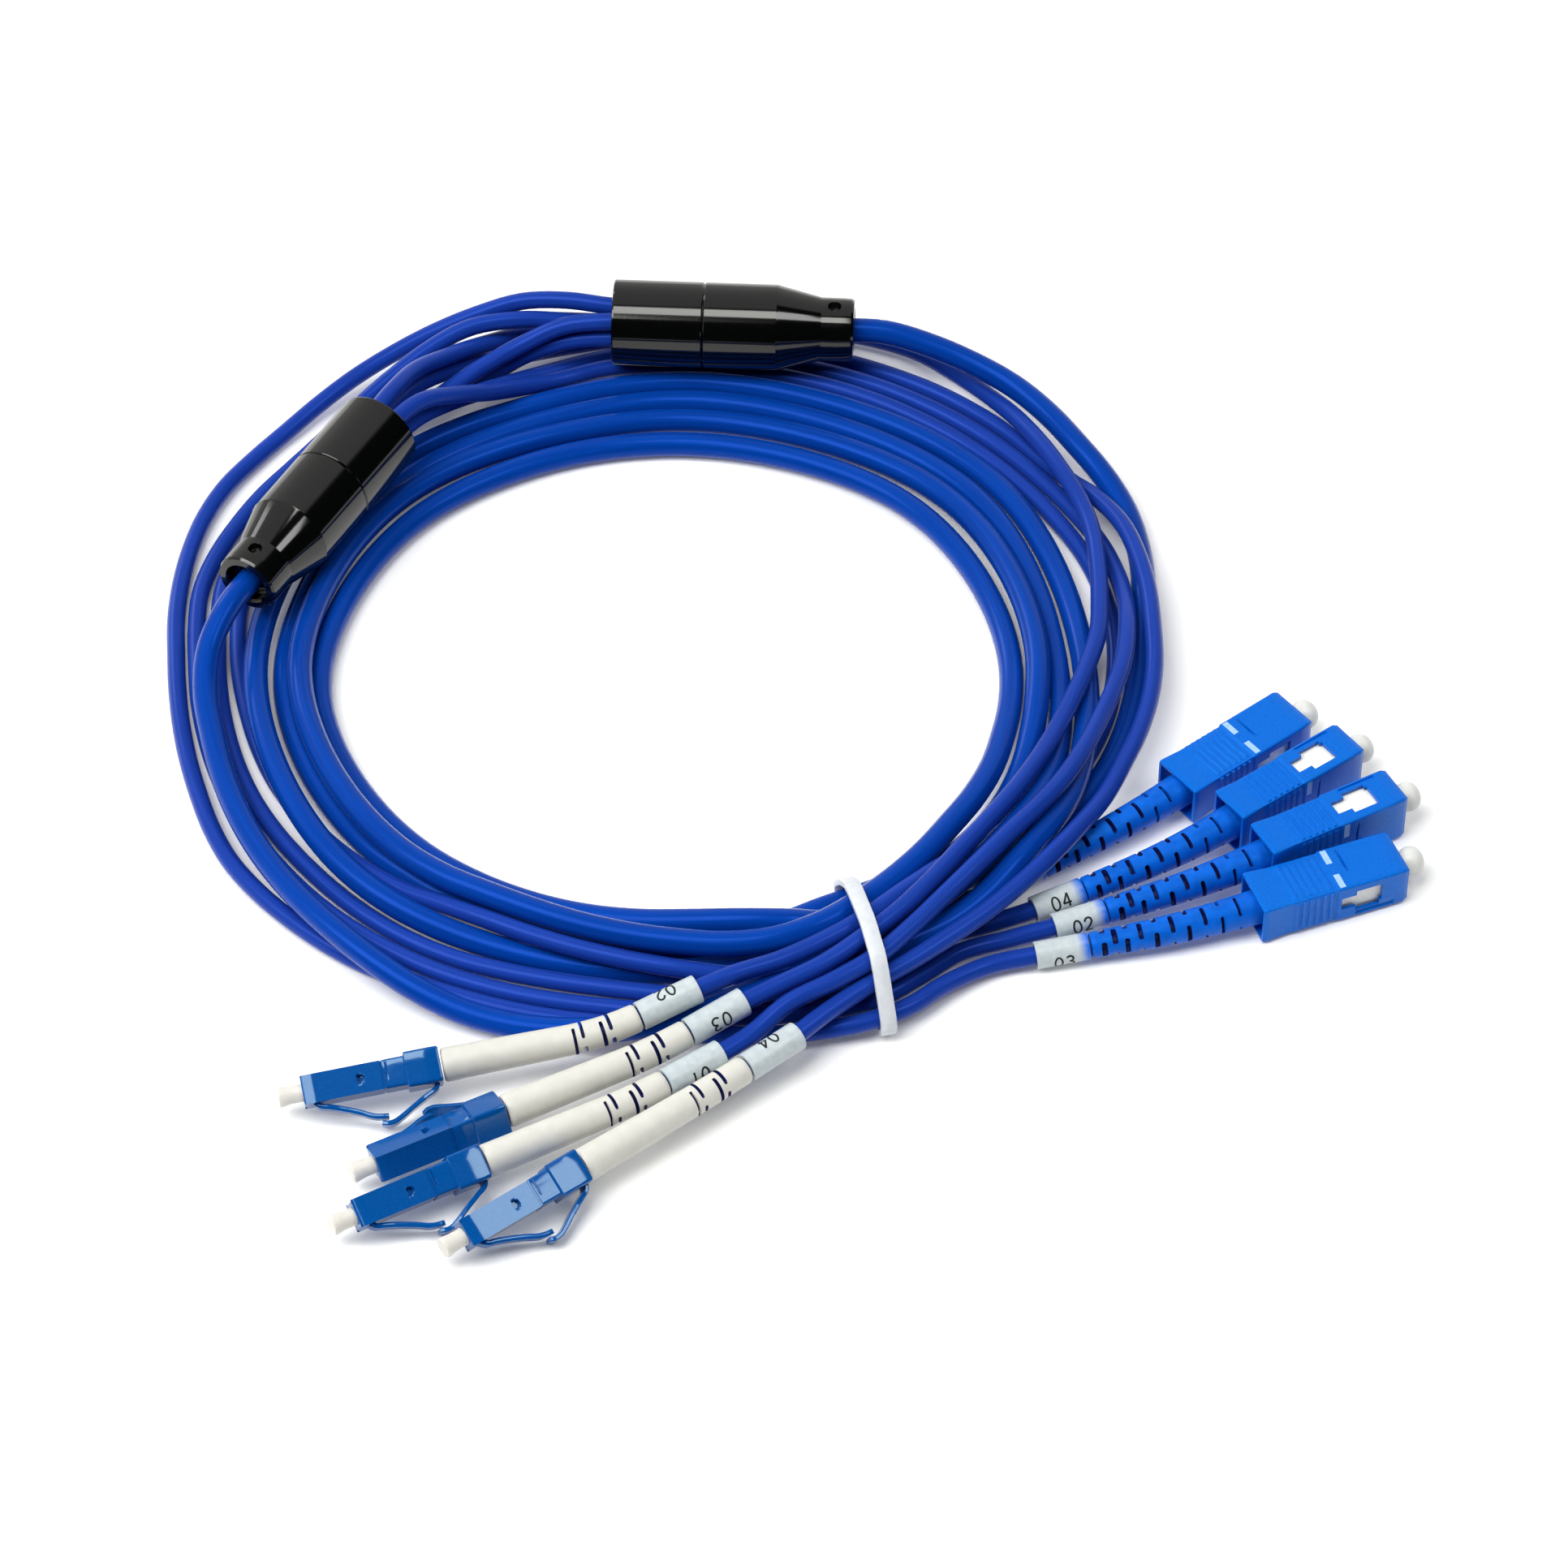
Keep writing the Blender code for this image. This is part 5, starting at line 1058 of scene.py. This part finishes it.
def barred(xs, halves, corner, side_lines, relief):
    """A square bar along X, with a half width at each of xs, its flanks sunk by relief(x, y, z, ways)."""
    unit, ways = rounded_box_ring(2.0, 2.0, corner, side_lines, side_lines)
    xs, halves = np.asarray(xs, float)[:, None], np.asarray(halves, float)[:, None]
    y, z = unit[:, 0] * halves, unit[:, 1] * halves
    depth = relief(xs, y, z, ways)
    body = np.stack([np.broadcast_to(xs, y.shape), y - depth * ways[:, 0], z - depth * ways[:, 1]], axis=-1)
    return capped(body)


def strap(line, half_widths, half_thickness, spacing=0.3):
    """A flat moulded arm along a line of (x, z), its edges rounded and its width changing along it."""
    line = np.asarray(line, float)
    path = through_points(np.stack([line[:, 0], np.zeros(len(line)), line[:, 1]], axis=1), spacing)
    gone = np.linspace(0.0, 1.0, len(path))
    half = np.interp(gone, np.linspace(0.0, 1.0, len(half_widths)), half_widths)
    half = half - 0.25 * (1 - step_up(np.minimum(gone, 1 - gone), 0.0, 0.06))
    edges = np.array([(-1.0, -0.5), (-0.9, -1.0), (0.9, -1.0), (1.0, -0.5), (1.0, 0.5), (0.9, 1.0),
                      (-0.9, 1.0), (-1.0, 0.5), (-1.0, -0.5)])
    section = edges[None] * np.stack([half, np.full(len(path), half_thickness)], axis=1)[:, None]
    return capped(carried(path, section))


def front_relief(x, y, z, ways):
    """The D window, straight to the front and round to the back, and the drawn-in front edge."""
    on_side = np.abs(ways[:, 0]) > 0.99
    curve = np.hypot(np.minimum(x + 9.0, 0.0), z)
    d_window = 0.9 * step_up(-curve, -0.72, -0.58) * step_up(-x, 8.5, 8.6) * (x > -10.4) * on_side
    return d_window + 0.25 * (1 - step_up(-x, 0.0, 0.35)) ** 2


def rear_relief(x, y, z, ways):
    """The slot round the locking tab on each side, and the drawn-in back edge."""
    on_side = np.abs(ways[:, 0]) > 0.99
    slot = (np.abs(z + 1.62) < 0.2) * step_up(-x, 13.0, 13.1) * (1 - step_up(-x, 15.8, 15.95)) * on_side
    back = step_up(-x, 13.05, 13.15) * (1 - step_up(-x, 13.35, 13.45)) * on_side * (z < -0.6) * (z > -1.8)
    return 0.35 * np.maximum(slot, back) + 0.25 * step_up(-x, 21.2, 21.5) ** 2


# Moulded PBT of a deeper blue, glossier, with a bright line where its edges catch the light
deep_pbt = finish("moulded_deep_blue_pbt", "#044C96", Roughness=0.1, IOR=1.54,
                  Specular_Tint=linear("#D8F8FF"))
grained(deep_pbt, ("#034890", "#05509C"), 2500.0, 0.000002)

side_lines = np.linspace(-1.0, 1.0, 27)
front_xs = (0.0, -0.12, -0.35, -2.0, -5.0, -8.0, *np.arange(-8.4, -9.9, -0.06), -11.4, -12.3, -12.38,
            -12.68)
front_bar = barred(front_xs, np.where(np.array(front_xs) < -12.35, 2.17, 2.25), 0.14, side_lines,
                   front_relief)
latch = strap(((-1.6, 2.0), (-2.4, 2.75), (-3.6, 3.1), (-6.0, 3.95), (-8.2, 4.9), (-10.3, 5.9),
               (-11.5, 6.15), (-12.3, 6.2)),
              (1.15, 1.15, 1.0, 0.95, 0.95, 1.05, 1.1), 0.4)
rear_xs = (-12.7, -12.75, -13.0, -13.1, -13.2, -13.3, -13.4, -15.75, -15.85, -15.95, -16.15, -16.2,
           -18.5, -21.2, -21.35, -21.45, -21.5)
rear_halves = np.interp(rear_xs, (-21.5, -16.2, -16.15, -15.95, -12.7), (2.8, 2.8, 2.76, 2.32, 2.3))
rear_bar = barred(rear_xs, rear_halves, 0.16, (-0.79, -0.78, -0.63, -0.62, -0.3, 0.3), rear_relief)
trigger = strap(((-20.7, 2.2), (-20.3, 3.3), (-18.6, 4.3), (-16.2, 5.6), (-14.2, 6.75), (-13.0, 7.3),
                 (-12.0, 7.4), (-11.1, 7.1)),
                (1.4, 1.4, 1.2, 1.15, 1.2, 1.4, 1.4), 0.38)

# Their boots: white rubber, plain by the plug and cut by four rings near the cable. Each ring is two
# long slots that face each other, and they turn a quarter from ring to ring. The end of it is plain.
LC_RINGS = ((20.6, 0.0, 64.0), (21.9, 90.0, 72.0), (25.0, 0.0, 64.0), (26.3, 90.0, 72.0))
lc_slots = [(at, 29.0 + first + turn, half) for at, first, half in LC_RINGS for turn in (0.0, 180.0)]
LC_SLOT_WIDTHS = ((20.0, 27.0), (0.46, 0.52))

# Moulded thermoplastic rubber, off-white and matte
white_boot = finish("moulded_white_rubber", "#CFCEC9", Roughness=0.5, IOR=1.5)
grained(white_boot, ("#CCCBC5", "#D3D2CD"), 500.0, 0.00001)

# Their dust caps: stubs of ivory polythene, flared at the outer end
ivory = finish("moulded_ivory_polythene", "#D6D3CE", Roughness=0.42, IOR=1.51, Subsurface_Weight=0.25,
               Subsurface_Radius=(1.0, 1.0, 1.0), Subsurface_Scale=0.0015)
grained(ivory, ("#D2CFC9", "#DAD7D2"), 700.0, 0.00001)
lc_cap_profile = ((-3.2, 0.0), (-3.2, 1.3), (-3.0, 1.4), (0.1, 1.42), (0.9, 1.4), (1.8, 1.42),
                  (2.5, 1.5), (3.0, 1.6), (3.35, 1.65), (3.65, 1.63), (3.78, 1.52), (3.76, 1.2), (3.7, 0.0))

lc_end = {
    "boot_name": "slit_boot",
    "boot_shape": (LC_BOOT_FRONT, LC_BOOT_LENGTH, (2.7, 2.25), lc_slots, LC_SLOT_WIDTHS, 1.0),
    "rubber": white_boot,
    "rubber_slot": "white_rubber",
    "label_diameter": LC_LABEL_DIAMETER,
    "label_length": LC_LABEL_LENGTH,
    "film": label_grey,
    "number_angles": {1: 10.0, 2: 102.0, 3: 24.0, 4: 110.0},
    "cap_grid": turned(lc_cap_profile, 49),
    "plastic": ivory,
}
for place in LC_PLACES:
    number, stand = place[0], connector_frame(place)
    bodies = (("latch_body", "front_body", front_bar, latch),
              ("trigger_body", "rear_body", rear_bar, trigger))
    plug = [piece(f"lc_{number}_{name}", [patch(put(bar, stand)), patch(put(arm, stand))], [deep_pbt],
                  instead_of=[f"lc_{number}_{node}"]) for name, node, bar, arm in bodies]
    dressed_end("lc", place, plug, **lc_end)
